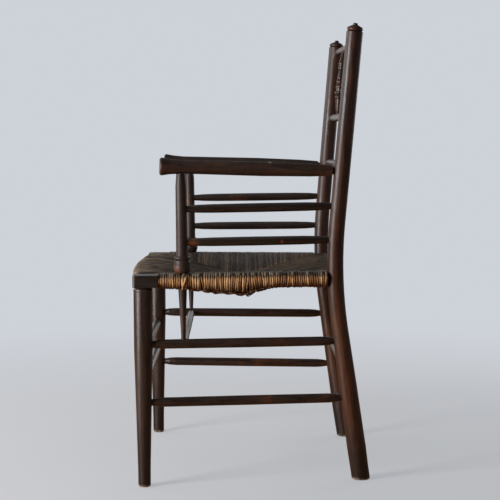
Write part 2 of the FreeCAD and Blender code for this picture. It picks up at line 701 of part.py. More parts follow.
def seat_bar(name, start, end, width, shoulders, tenons):
    """A straight seat rail from start to end: shoulders are where the bar begins and stops,
    tenons where its round tenons do, all as distances from start."""
    body = doc.addObject("PartDesign::Body", name)
    core = new_sketch(body, name + "_tenon_plan", "XY_Plane")
    tenon_circle(core, "seat_tenon_radius")
    core.setExpression("AttachmentOffset.Base.z", bound(tenons[0]))
    tenon = body.newObject("PartDesign::Pad", name + "_tenon")
    tenon.Profile = core
    tenon.setExpression("Length", bound(f"({tenons[1]}) - ({tenons[0]})"))
    plan = new_sketch(body, name + "_bar_plan", "XY_Plane")
    slot_outline(plan, "0", f"{width} / 2", "seat_rail_height / 2")
    plan.setExpression("AttachmentOffset.Base.z", bound(shoulders[0]))
    bar = body.newObject("PartDesign::Pad", name + "_bar")
    bar.Profile = plan
    bar.setExpression("Length", bound(f"({shoulders[1]}) - ({shoulders[0]})"))
    aim_level(body, start, end)
    return body


for side, hand in ((1, "left"), (-1, "right")):
    start = mirrored(side, side_rail_front)
    end = mirrored(side, post_at["seat"])
    bar = seat_bar(f"seat_rail_{hand}_bar", start, end, "side_rail_width",
                   ("rail_end_gap + side_rail_skew * side_rail_width / 2",
                    "side_rail_span - post_knee_radius - 4 * rail_end_gap"),
                   ("-seat_tenon_length", "side_rail_span - seat_side_stop"))
    through = drill(f"seat_rail_{hand}_support_hole",
                    mirrored(side, support_foot), mirrored(side, support_top),
                    "seat_rail_z - seat_rail_height - support_foot_at_z",
                    "seat_rail_z + seat_rail_height - support_foot_at_z", "support_rail_radius")
    finish(f"seat_rail_{hand}", bar, [through])
rear_seat = (post_at["seat"][0], "rear_rail_y", "seat_rail_z")
rear_span = f"(2 * ({post_at['seat'][0]}))"
bar = seat_bar("seat_rail_rear_bar", mirrored(-1, rear_seat), rear_seat, "rear_rail_width",
               ("post_knee_radius + 2 * rail_end_gap", f"{rear_span} - post_knee_radius - 2 * rail_end_gap"),
               ("tenon_stop", f"{rear_span} - tenon_stop"))
finish("seat_rail_rear", bar)


# The front rail is bowed: its section is swung about a far centre and cut square at the blocks
def bowed_body(name, draw, turn):
    """A section in the upright plane of the middle, swung about the centre of the bow."""
    body = doc.addObject("PartDesign::Body", name)
    section = new_sketch(body, name + "_section", "YZ_Plane")
    draw(section)
    swing = body.newObject("PartDesign::Revolution", name + "_swing")
    swing.Profile = section
    swing.ReferenceAxis = (section, ["V_Axis"])
    swing.Midplane = True
    swing.setExpression("Angle", bound(f"2 * {turn}"))
    body.setExpression("Placement.Base.y", bound("bow_center_y"))
    body.setExpression("Placement.Base.z", bound("seat_rail_z"))
    return body


bow = bowed_body("seat_rail_front_arc", lambda sketch: slot_outline(
    sketch, "-bow_radius", "front_rail_width / 2", "seat_rail_height / 2"), "wide_turn")
room = doc.addObject("Part::Box", "seat_rail_front_room")
room.setExpression("Length", bound("2 * (block_inner - rail_end_gap)"))
room.setExpression("Width", bound("4 * front_rail_width"))
room.setExpression("Height", bound("2 * seat_rail_height"))
room.setExpression("Placement.Base.x", bound("rail_end_gap - block_inner"))
room.setExpression("Placement.Base.y", bound("front_rail_end_y - 2 * front_rail_width"))
room.setExpression("Placement.Base.z", bound("seat_rail_z - seat_rail_height"))
square = doc.addObject("Part::Common", "seat_rail_front_square")
square.Base = bow
square.Tool = room
tenons = []
for side, hand in ((1, "left"), (-1, "right")):
    inner = mirrored(side, ("block_inner", "front_rail_end_y", "seat_rail_z"))
    outer = mirrored(side, ("block_inner + seat_tenon_length", "front_rail_end_y", "seat_rail_z"))
    tenon = doc.addObject("Part::Cylinder", f"seat_rail_front_tenon_{hand}")
    tenon.setExpression("Radius", bound("seat_tenon_radius"))
    tenon.setExpression("Height", bound("3 * seat_tenon_length"))
    aim(tenon, outer, inner)
    tenons.append(tenon)
finish("seat_rail_front", joined("seat_rail_front_whole", [square] + tenons))

# Rush: strands wound over the rails in four triangles that meet on diagonal seams and a short bridge.
# Each triangle is one solid with a rounded edge over its rail and a tunnel for the rail.
# A panel is made larger by trim_room and then trimmed on its seams.
place("trim_room", "8")
place("rush_half", "seat_rail_height / 2 + rush_thickness")
place("rush_top_z", "seat_rail_z + rush_half")
place("rush_inner_half", "rush_half - rush_dip")
place("front_panel_reach", "rush_bridge_y - front_rail_end_y + front_rail_bow + trim_room")
place("rear_panel_reach", "rear_rail_y - rush_bridge_y + trim_room")
place("side_panel_reach", "side_rail_front_x - rush_bridge_half + trim_room")
doc.recompute()


def rush_section(sketch, middle, width, reach):
    """A wrapped edge: round outside, then a flat layer that dips towards the seat's middle."""
    start = f"({middle} - {width} / 2 + seat_rail_height / 2)"
    draw_outline(sketch, [
        (start, "-rush_half"),
        (f"({middle} + {reach})", "-rush_inner_half"),
        (f"({middle} + {reach})", "rush_inner_half"),
        (start, "rush_half", "rush_half * round_share"),
    ])
    slot_outline(sketch, middle, f"({width} / 2 + rush_clearance)", "(seat_rail_height / 2 + rush_clearance)")


def straight_rush(name, start, end, width, reach, first, last):
    body = doc.addObject("PartDesign::Body", name)
    section = new_sketch(body, name + "_section", "XY_Plane")
    rush_section(section, "0", width, reach)
    section.setExpression("AttachmentOffset.Base.z", bound(first))
    pad = body.newObject("PartDesign::Pad", name + "_pad")
    pad.Profile = section
    pad.setExpression("Length", bound(f"({last}) - ({first})"))
    aim_level(body, start, end)
    return body


apex = ("rush_bridge_half", "rush_bridge_y")


def seam_end(corner):
    """Where the diagonal seam through a corner of the seat ends, well outside the rails, in plan."""
    return tuple(f"({a} + (({c}) - {a}) * {SEAM_REACH})" for a, c in zip(apex, corner))


SEAM_REACH = 1.5
front_seam = seam_end(("block_inner", "block_back"))
rear_seam = seam_end(("post_seat_x - post_knee_radius", "rear_rail_y - rear_rail_width / 2"))


def flipped(point):
    return (f"-({point[0]})", point[1])


beyond = "(block_outer + block_width)"
PANEL_PLANS = {
    "front": [front_seam, apex, flipped(apex), flipped(front_seam)],
    "rear": [flipped(rear_seam), flipped(apex), apex, rear_seam],
    "left": [front_seam, (beyond, front_seam[1]), (beyond, rear_seam[1]), rear_seam, apex],
    "right": [flipped(apex), flipped(rear_seam), (f"-{beyond}", rear_seam[1]), (f"-{beyond}", front_seam[1]),
              flipped(front_seam)],
}
side_first = "-side_rail_skew * side_rail_width / 2"
side_last = "(side_rail_span - post_knee_radius / 2)"
side_back = post_at["seat"]
panel_bodies = {
    "front": bowed_body("rush_front_arc", lambda sketch: rush_section(
        sketch, "-bow_radius", "front_rail_width", "front_panel_reach"), "wide_turn"),
    "rear": straight_rush("rush_rear_bar", rear_seat, mirrored(-1, rear_seat), "rear_rail_width",
                          "rear_panel_reach", "0", rear_span),
    "left": straight_rush("rush_left_bar", side_rail_front, side_back, "side_rail_width", "side_panel_reach",
                          side_first, side_last),
    "right": straight_rush("rush_right_bar", mirrored(-1, side_back), mirrored(-1, side_rail_front),
                           "side_rail_width", "side_panel_reach", f"side_rail_span - {side_last}",
                           f"side_rail_span - ({side_first})"),
}


def keep_clear(panel):
    """What the rush goes round: corner blocks, rear posts and the arm supports."""
    tools = []
    for side, hand in ((1, "left"), (-1, "right")):
        block = doc.addObject("Part::Box", f"rush_{panel}_block_{hand}")
        block.setExpression("Length", bound("block_width + 2 * rush_clearance"))
        block.setExpression("Width", bound("block_depth + trim_room + rush_clearance"))
        block.setExpression("Height", bound("4 * seat_rail_height"))
        block.setExpression("Placement.Base.x", bound(
            f"{side} * front_leg_x - block_width / 2 - rush_clearance"))
        block.setExpression("Placement.Base.y", bound("block_front - trim_room"))
        block.setExpression("Placement.Base.z", bound("seat_rail_z - 2 * seat_rail_height"))
        foot = mirrored(side, post_point("seat_rail_z - rush_half"))
        head = mirrored(side, post_point("seat_rail_z + rush_half"))
        post = drill(f"rush_{panel}_post_{hand}", foot, head,
                     "-drill_run_out", "2 * rush_half + drill_run_out", "post_knee_radius + rush_clearance")
        support = drill(f"rush_{panel}_support_{hand}", mirrored(side, support_foot),
                        mirrored(side, support_top),
                        "seat_rail_z - 2 * seat_rail_height - support_foot_at_z",
                        "seat_rail_z + 2 * seat_rail_height - support_foot_at_z",
                        "support_rail_radius + rush_clearance")
        tools += [block, post, support]
    return tools


for panel, plan in PANEL_PLANS.items():
    mask = doc.addObject("PartDesign::Body", f"rush_{panel}_mask")
    outline = new_sketch(mask, f"rush_{panel}_plan", "XY_Plane")
    draw_outline(outline, plan)
    mask_pad = mask.newObject("PartDesign::Pad", f"rush_{panel}_mask_pad")
    mask_pad.Profile = outline
    mask_pad.setExpression("Length", bound("4 * seat_rail_height"))
    mask.setExpression("Placement.Base.z", bound("seat_rail_z - 2 * seat_rail_height"))
    triangle = doc.addObject("Part::Common", f"rush_{panel}_triangle")
    triangle.Base = panel_bodies[panel]
    triangle.Tool = mask
    finish(f"rush_panel_{panel}", triangle, keep_clear(panel))

# Arm supports: turned, thin at the foot, straight through the seat, with a bulb and a ring above it
for side, hand in ((1, "left"), (-1, "right")):
    def up(height):
        return f"({height} - support_foot_at_z)"

    neck = "(support_span - arm_front_radius - shoulder_gap)"
    bulb_foot = up("rush_top_z + support_bulb_lift")
    bulb_top = f"({bulb_foot} + support_bulb_height)"
    ring_foot = f"({bulb_top} + 2 * support_ring_groove)"
    ring_top = f"({ring_foot} + support_ring_height)"
    shaft_foot = f"({ring_top} + support_ring_groove)"
    support = turned(f"arm_support_{hand}_turning", [
        ("support_foot_stop", "support_foot_radius"),
        ("side_stretcher_upper_radius + shoulder_gap", "support_foot_radius"),
        (up("(rush_top_z - 2 * rush_half)"), "support_rail_radius"),
        (bulb_foot, "support_rail_radius"),
        (bulb_foot, "support_bulb_base_radius", "support_bulb_base_swell"),
        (f"{bulb_foot} + support_bulb_belly", "support_bulb_radius", "support_bulb_top_swell"),
        (bulb_top, "support_bulb_top_radius"),
        (f"{bulb_top} + support_ring_groove", "support_bulb_top_radius - support_ring_groove"),
        (ring_foot, "support_ring_radius", "support_ring_height / 6"),
        (ring_top, "support_ring_radius"),
        (shaft_foot, "support_shaft_radius"),
        (f"{neck} - support_neck_length", "support_shaft_radius - support_shaft_thinning"),
        (neck, "support_neck_radius"),
        (neck, "support_tenon_radius"),
        ("support_span - tenon_stop", "support_tenon_radius"),
    ], mirrored(side, support_foot), mirrored(side, support_top))
    for start, joint in ((support_upper, "upper_arm_rail"), (support_lower, "lower_arm_rail")):
        socket(f"arm_support_{hand}", mirrored(side, start), mirrored(side, post_at[joint]), "tenon_stop",
               "support_shaft_radius", "arm_rail_tenon_radius")
    finish(f"arm_support_{hand}", support)

# Arms: turned, plump in the middle, flared to a trumpet end in front of the support. The flare is
# steeper at its end: before FLARE_BREAK of its length is left it has gained FLARE_GAIN of its radius.
FLARE_BREAK = 0.45
FLARE_GAIN = 0.4
place("arm_span", length(post_at["arm"], support_top))
doc.recompute()
for side, hand in ((1, "left"), (-1, "right")):
    tip = f"(arm_span + arm_{hand}_overhang)"
    arm = turned(f"arm_{hand}_turning", [
        ("arm_post_stop", "arm_tenon_radius"),
        ("post_top_radius + shoulder_gap", "arm_tenon_radius"),
        ("post_top_radius + shoulder_gap + arm_rear_round", "arm_rear_radius"),
        ("post_top_radius + arm_swell_reach", "arm_swell_radius"),
        ("arm_span / 2", "arm_middle_radius"),
        (f"{tip} - arm_flare_length", "arm_front_radius"),
        (f"{tip} - arm_flare_length * {FLARE_BREAK}",
         f"arm_front_radius + (arm_flare_radius - arm_front_radius) * {FLARE_GAIN}"),
        (f"{tip} - arm_end_round", "arm_flare_radius", "arm_end_swell"),
        (tip, "arm_flare_radius - arm_end_round"),
    ], mirrored(side, post_at["arm"]), mirrored(side, support_top))
    socket(f"arm_{hand}", mirrored(side, support_top), mirrored(side, support_foot), "tenon_stop",
           "arm_front_radius", "support_tenon_radius")
    finish(f"arm_{hand}", arm)

# Arm rails: two swelled rods under each arm, from the support to the post
for side, hand in ((1, "left"), (-1, "right")):
    for level, start in (("upper", support_upper), ("lower", support_lower)):
        rail = rod(f"arm_rail_{level}_{hand}_rod", mirrored(side, start),
                   mirrored(side, post_at[f"{level}_arm_rail"]), ("support_shaft_radius", "post_top_radius"),
                   ("tenon_stop", "tenon_stop"), "arm_rail_radius", "arm_rail_tenon_radius", "arm_rail_taper")
        finish(f"arm_rail_{level}_{hand}", rail)


# Back rails: slim rods, bent backwards to fit the sitter's back, thinner at the posts
def bow_point(level, across):
    """A point on a back rail's arc at the distance across from the middle plane."""
    y = f"(rail_center_y_{level} + sqrt(rail_bend_radius_{level} ^ 2 - ({across}) ^ 2))"
    return (f"({across})", y, post_at[f"back_{level}"][2])


SPINDLES = {"left": "spindle_pitch", "middle": "0", "right": "-spindle_pitch"}
for level in ("top", "middle", "lower"):
    name = f"back_rail_{level}"
    radius = f"back_rail_{level}_radius"
    arc = doc.addObject("Part::Torus", f"{name}_arc")
    arc.setExpression("Radius1", bound(f"rail_bend_radius_{level}"))
    arc.setExpression("Radius2", bound(radius))
    half_turn = f"asin(rail_bend_x_{level} / rail_bend_radius_{level})"
    arc.setExpression("Angle3", bound(f"2 * {half_turn}"))
    arc.setExpression("Placement.Base.y", bound(f"rail_center_y_{level}"))
    arc.setExpression("Placement.Base.z", bound(post_at[f"back_{level}"][2]))
    arc.setExpression("Placement.Rotation.Angle", bound(f"90 deg - {half_turn}"))
    lengths = [arc]
    for side, hand in ((1, "left"), (-1, "right")):
        joint = mirrored(side, post_at[f"back_{level}"])
        bend_point = mirrored(side, bow_point(level, f"rail_bend_x_{level}"))
        lengths.append(turned(f"{name}_{hand}_end", [
            ("tenon_stop", "back_rail_tenon_radius"),
            ("post_top_radius + shoulder_gap", "back_rail_tenon_radius"),
            (length(joint, bend_point), radius),
        ], joint, bend_point))
    if level != "lower":
        other = "middle" if level == "top" else "top"
        for across in SPINDLES.values():
            socket(name, bow_point(level, across), bow_point(other, across), "spindle_tenon_stop", radius,
                   "spindle_tenon_radius")
    finish(name, joined(f"{name}_whole", lengths))

# Spindles between the top and the middle back rail, turned with beads, discs, a ball and a scored barrel.
# Each feature stands at a share of the spindle's length and takes a share of it for half its height.
PLACE_SHARE = {"stem": 0.1, "bead": 0.3, "disc": 0.362, "collar": 0.41, "plate": 0.448, "ball": 0.523,
               "ring": 0.579, "neck": 0.68, "barrel": 0.757, "tip": 0.915}
HALF_SHARE = {"bead": 0.026, "disc": 0.021, "collar": 0.02, "plate": 0.012, "ball": 0.03, "ring": 0.008,
              "barrel": 0.042}
for hand, across in SPINDLES.items():
    low = bow_point("middle", across)
    high = bow_point("top", across)
    span = f"({length(low, high)})"

    def feature(name, radius, *swell):
        """The two stations of one turned feature, with a round side where a swell is given."""
        below = f"{span} * ({PLACE_SHARE[name]} - {HALF_SHARE[name]})"
        above = f"{span} * ({PLACE_SHARE[name]} + {HALF_SHARE[name]})"
        return [(below, radius) + swell, (above, radius)]

    def score(height):
        """The three stations of a fine groove cut round the barrel."""
        return [(f"{height} - spindle_score_half", "spindle_barrel_radius"),
                (height, "spindle_barrel_radius - spindle_score_depth"),
                (f"{height} + spindle_score_half", "spindle_barrel_radius")]

    barrel_low, barrel_high = feature("barrel", "spindle_barrel_radius")
    thirds = [f"(({barrel_low[0]}) + (({barrel_high[0]}) - ({barrel_low[0]})) * {part} / 3)"
              for part in (1, 2)]
    spindle = turned(f"back_spindle_{hand}_turning", [
        ("spindle_tenon_stop", "spindle_tenon_radius"),
        ("back_rail_middle_radius + shoulder_gap", "spindle_tenon_radius"),
        (f"{span} * {PLACE_SHARE['stem']}", "spindle_stem_radius - spindle_stem_thinning"),
        *feature("bead", "spindle_bead_radius", "spindle_bead_swell"),
        *feature("disc", "spindle_disc_radius", "spindle_disc_swell"),
        *feature("collar", "spindle_collar_radius"),
        *feature("plate", "spindle_plate_radius"),
        *feature("ball", "spindle_ball_radius", "spindle_ball_swell"),
        *feature("ring", "spindle_ring_radius"),
        (f"{span} * {PLACE_SHARE['neck']}", "spindle_stem_radius"),
        barrel_low,
        *score(thirds[0]),
        *score(thirds[1]),
        barrel_high,
        (f"{span} * {PLACE_SHARE['tip']}", "spindle_tip_radius"),
        (f"{span} - back_rail_top_radius - shoulder_gap", "spindle_tenon_radius"),
        (f"{span} - spindle_tenon_stop", "spindle_tenon_radius"),
    ], low, high)
    finish(f"back_spindle_{hand}", spindle)

doc.recompute()
faults = [f"{obj.Name}: {obj.State}" for obj in doc.Objects if {"Invalid", "Error"} & set(obj.State)]
faults += [f"{name}: bad shape" for name, obj in parts.items()
           if obj.Shape.isNull() or not obj.Shape.isValid()]
if faults:
    raise RuntimeError("; ".join(faults))
os.makedirs("parts", exist_ok=True)
for name, obj in parts.items():
    obj.Shape.exportStep(f"parts/{name}.step")
print(len(parts), "pieces")
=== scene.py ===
import bpy
import math
import random
from mathutils import Matrix, Vector


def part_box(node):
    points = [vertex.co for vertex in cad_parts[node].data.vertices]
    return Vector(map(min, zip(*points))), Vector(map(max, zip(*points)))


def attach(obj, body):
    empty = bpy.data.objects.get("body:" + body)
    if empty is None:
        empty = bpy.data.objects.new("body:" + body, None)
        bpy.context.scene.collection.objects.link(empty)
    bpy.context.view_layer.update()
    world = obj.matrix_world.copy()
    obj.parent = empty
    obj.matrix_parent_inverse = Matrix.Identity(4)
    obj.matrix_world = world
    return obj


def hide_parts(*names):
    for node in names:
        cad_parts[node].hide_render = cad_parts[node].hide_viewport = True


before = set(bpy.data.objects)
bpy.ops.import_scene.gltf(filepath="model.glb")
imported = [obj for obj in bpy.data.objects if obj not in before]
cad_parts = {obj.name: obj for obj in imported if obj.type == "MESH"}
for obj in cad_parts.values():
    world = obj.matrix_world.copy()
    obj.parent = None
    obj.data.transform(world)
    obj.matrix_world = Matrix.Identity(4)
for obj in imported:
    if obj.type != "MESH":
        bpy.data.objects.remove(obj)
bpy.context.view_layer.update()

# Front legs. Turned hardwood, stained nearly black and waxed, thickest at the stretchers and
# thinner towards the floor. A tenon on top of each leg is glued into the corner block.
HANDS = ("left", "right")
UPRIGHT_GRAIN = (1.0, 1.0, 0.05)
STAIN_DARK = (0.016, 0.0092, 0.007)
LEG_STAIN = (0.056, 0.031, 0.0255)
RUBBED_BROWN = (0.128, 0.042, 0.016)
BARE_WOOD = (0.36, 0.26, 0.19)
DUST_AND_SHEEN_GREY = (0.1, 0.094, 0.094)


def new_group(name, vectors, values, results):
    """An empty node group with named vectors and values as inputs, and named values as results."""
    tree = bpy.data.node_groups.new(name, "ShaderNodeTree")
    for socket in vectors:
        tree.interface.new_socket(socket, in_out="INPUT", socket_type="NodeSocketVector")
    for socket in values:
        tree.interface.new_socket(socket, in_out="INPUT", socket_type="NodeSocketFloat")
    for socket in results:
        tree.interface.new_socket(socket, in_out="OUTPUT", socket_type="NodeSocketFloat")
    return tree, tree.nodes.new("NodeGroupInput").outputs, tree.nodes.new("NodeGroupOutput").inputs


def feed(tree, term, socket):
    """Give an input its term: a link from another socket, or a plain number, vector or colour."""
    if isinstance(term, bpy.types.NodeSocket):
        tree.links.new(term, socket)
    elif socket.type == "RGBA":
        socket.default_value = (*term, 1.0)
    else:
        socket.default_value = term


def feed_by_name(tree, node, terms):
    """Feed the inputs of a node by name. An underscore in a name stands for a space."""
    for name, term in terms.items():
        feed(tree, term, node.inputs[name.replace("_", " ")])


def add(tree, kind, **terms):
    """A new node of a kind, with its inputs fed by name."""
    node = tree.nodes.new("ShaderNode" + kind)
    feed_by_name(tree, node, terms)
    return node


def place_group(tree, group, **terms):
    """The results of a group that is placed in a material, with its inputs fed by name."""
    node = tree.nodes.new("ShaderNodeGroup")
    node.node_tree = group
    feed_by_name(tree, node, terms)
    return node.outputs


def calculate(tree, operation, first, second=0.0):
    """A math node. first and second are sockets or plain numbers."""
    node = tree.nodes.new("ShaderNodeMath")
    node.operation = operation
    feed(tree, first, node.inputs[0])
    feed(tree, second, node.inputs[1])
    return node.outputs["Value"]


def add_share(tree, value, share, term):
    """A value plus a share of another."""
    return calculate(tree, "ADD", value, calculate(tree, "MULTIPLY", term, share))


def spread(tree, value, low, high, to_low=0.0, to_high=1.0):
    """A value's stretch from low to high, eased into a mask from to_low to to_high."""
    node = add(tree, "MapRange", Value=value, From_Min=low, From_Max=high, To_Min=to_low, To_Max=to_high)
    node.interpolation_type = "SMOOTHSTEP"
    return node.outputs["Result"]


def noise(tree, point, scale, detail, roughness=0.55, distortion=0.0):
    """The grey value of a noise texture at a point. scale is a socket or a plain number."""
    node = add(tree, "TexNoise", Vector=point, Scale=scale, Detail=detail, Roughness=roughness,
               Distortion=distortion)
    return node.outputs["Fac"]


def stretch(tree, point, factors):
    """A point with each of its axes multiplied by a factor."""
    node = tree.nodes.new("ShaderNodeVectorMath")
    node.operation = "MULTIPLY"
    feed(tree, point, node.inputs[0])
    feed(tree, factors, node.inputs[1])
    return node.outputs["Vector"]


def split_axes(tree, vector):
    """The X, Y and Z of a vector, by name."""
    return add(tree, "SeparateXYZ", Vector=vector).outputs


def blend_colors(tree, mask, first, second):
    """first where the mask is 0 and second where it is 1. Both are colours or sockets."""
    node = add(tree, "Mix")
    node.data_type = "RGBA"
    feed(tree, mask, node.inputs["Factor"])
    color_inputs = [socket for socket in node.inputs if socket.type == "RGBA"]
    for socket, term in zip(color_inputs, (first, second)):
        feed(tree, term, socket)
    return next(socket for socket in node.outputs if socket.type == "RGBA")


def make_grain_group():
    """Long wood fibres: broad figure, dark pores and the height of both."""
    tree, given, result = new_group("wood_fibres", ("Point", "Stretch"), ("Figure Scale", "Pore Scale"),
                                    ("Figure", "Pores", "Height"))
    along = stretch(tree, given["Point"], given["Stretch"])
    figure = noise(tree, along, given["Figure Scale"], detail=5.0, roughness=0.62, distortion=0.8)
    pores = spread(tree, noise(tree, along, given["Pore Scale"], detail=2.0), low=0.54, high=0.7)
    tree.links.new(spread(tree, figure, low=0.3, high=0.7), result["Figure"])
    tree.links.new(pores, result["Pores"])
    tree.links.new(calculate(tree, "SUBTRACT", figure, pores), result["Height"])
    return tree


# The stain is rubbed in broad patches, broken by finer streaks along the grain
STREAK_FINENESS = 14.0
STREAK_SHARE = 0.28
PATCH_SHARE = 0.72
RUB_START = 0.62
RUB_GAIN = 0.25
RUB_EASE = 0.24


def make_rub_group():
    """Places where hands and cloth have rubbed the stain thin."""
    tree, given, result = new_group("rubbed_stain", ("Point", "Stretch"), ("Patch Scale", "Amount"),
                                    ("Rubbed",))
    patches = noise(tree, given["Point"], given["Patch Scale"], detail=2.0)
    along = stretch(tree, given["Point"], given["Stretch"])
    streak_scale = calculate(tree, "MULTIPLY", given["Patch Scale"], STREAK_FINENESS)
    streaks = noise(tree, along, streak_scale, detail=4.0, roughness=0.6)
    broken = add_share(tree, calculate(tree, "MULTIPLY", patches, PATCH_SHARE), STREAK_SHARE, streaks)
    start = calculate(tree, "SUBTRACT", RUB_START, calculate(tree, "MULTIPLY", given["Amount"], RUB_GAIN))
    end = calculate(tree, "ADD", start, RUB_EASE)
    tree.links.new(spread(tree, broken, start, end), result["Rubbed"])
    return tree


def make_dust_and_sheen_group():
    """Fine grey dust on faces which look upwards, partly a painted sheen that lightens their tops."""
    tree, given, result = new_group("settled_dust_and_sheen", ("Point",), ("Up", "Amount"), ("Dust and Sheen",))
    level = spread(tree, given["Up"], low=0.25, high=0.95)
    specks = noise(tree, given["Point"], scale=45.0, detail=4.0, roughness=0.6)
    patchy = spread(tree, specks, low=0.25, high=0.75, to_low=0.45)
    lying = calculate(tree, "MULTIPLY", level, patchy)
    tree.links.new(calculate(tree, "MULTIPLY", lying, given["Amount"]), result["Dust and Sheen"])
    return tree


def make_knock_group():
    """One spot where knocks and hands have taken the stain off, ragged at its rim."""
    tree, given, result = new_group("knocked_spot", ("Point", "Spot"), ("Reach",), ("Knocked",))
    away = tree.nodes.new("ShaderNodeVectorMath")
    away.operation = "DISTANCE"
    feed(tree, given["Point"], away.inputs[0])
    feed(tree, given["Spot"], away.inputs[1])
    share = calculate(tree, "DIVIDE", away.outputs["Value"], given["Reach"])
    near = calculate(tree, "SUBTRACT", 1.0, share)
    rim = noise(tree, given["Point"], scale=260.0, detail=3.0, roughness=0.6)
    ragged = calculate(tree, "ADD", near, rim)
    tree.links.new(spread(tree, ragged, low=0.55, high=1.1), result["Knocked"])
    return tree


# A foot's bare rim starts to fade at a share of its height, and the darkening above it ends at a multiple of
# it
RIM_SHARE = 0.5
DARKENING_REACH = 12.0


def make_scuff_group():
    """The ragged lowest rim of a foot, scuffed bare by the floor, and a darkening towards the floor that
    fades out above it.
    """
    tree, given, result = new_group("scuffed_foot", ("Point",), ("Height",), ("Scuffed", "Darkened Low"))
    rim = noise(tree, given["Point"], scale=140.0, detail=3.0, roughness=0.6)
    ragged = calculate(tree, "MULTIPLY", rim, given["Height"])
    above = calculate(tree, "ADD", split_axes(tree, given["Point"])["Z"], ragged)
    rim_start = calculate(tree, "MULTIPLY", given["Height"], RIM_SHARE)
    scuffed = spread(tree, above, rim_start, given["Height"], to_low=1.0, to_high=0.0)
    darkening_end = calculate(tree, "MULTIPLY", given["Height"], DARKENING_REACH)
    darkened_low = spread(tree, above, given["Height"], darkening_end, to_low=0.85, to_high=0.0)
    tree.links.new(scuffed, result["Scuffed"])
    tree.links.new(darkened_low, result["Darkened Low"])
    return tree


# How far the rubbed stretch of a post is ragged, and how far it fades at its lower and upper end
SHIN_RAGGED = 0.06
SHIN_FADE_LOW = 0.12
SHIN_FADE_HIGH = 0.16


def make_shin_group():
    """A stretch of a post between two heights that feet and brooms have rubbed on its outer side."""
    tree, given, result = new_group("rubbed_shin", ("Point",), ("Outward", "Low", "High"), ("Rubbed",))
    along = stretch(tree, given["Point"], UPRIGHT_GRAIN)
    streaks = noise(tree, along, scale=120.0, detail=4.0, roughness=0.6)
    height = add_share(tree, split_axes(tree, given["Point"])["Z"], SHIN_RAGGED, streaks)
    full_from = calculate(tree, "ADD", given["Low"], SHIN_FADE_LOW)
    full_to = calculate(tree, "SUBTRACT", given["High"], SHIN_FADE_HIGH)
    above = spread(tree, height, given["Low"], full_from)
    below = spread(tree, height, full_to, given["High"], to_low=1.0, to_high=0.0)
    within = calculate(tree, "MULTIPLY", above, below)
    outside = spread(tree, given["Outward"], low=0.2, high=0.95)
    broken = spread(tree, streaks, low=0.3, high=0.66, to_low=0.15, to_high=0.75)
    rubbed = calculate(tree, "MULTIPLY", calculate(tree, "MULTIPLY", within, outside), broken)
    tree.links.new(rubbed, result["Rubbed"])
    return tree


grain_group = make_grain_group()
rub_group = make_rub_group()
dust_and_sheen_group = make_dust_and_sheen_group()
knock_group = make_knock_group()
scuff_group = make_scuff_group()
shin_group = make_shin_group()


def new_finish(name):
    """An empty material, its nodes and its surface shader."""
    material = bpy.data.materials.new(name)
    material.use_nodes = True
    return material, material.node_tree, material.node_tree.nodes["Principled BSDF"]


def raise_surface(tree, shader, height, strength, distance):
    """Give a surface a fine relief from a height."""
    bump = add(tree, "Bump", Height=height, Strength=strength, Distance=distance)
    tree.links.new(bump.outputs["Normal"], shader.inputs["Normal"])


# How dark the pores are, how much duller the wax is in places, and how much thick dust dulls it
PORE_SHARE = 0.7
WAX_RANGE = 0.12
DUST_DULLS = 0.35


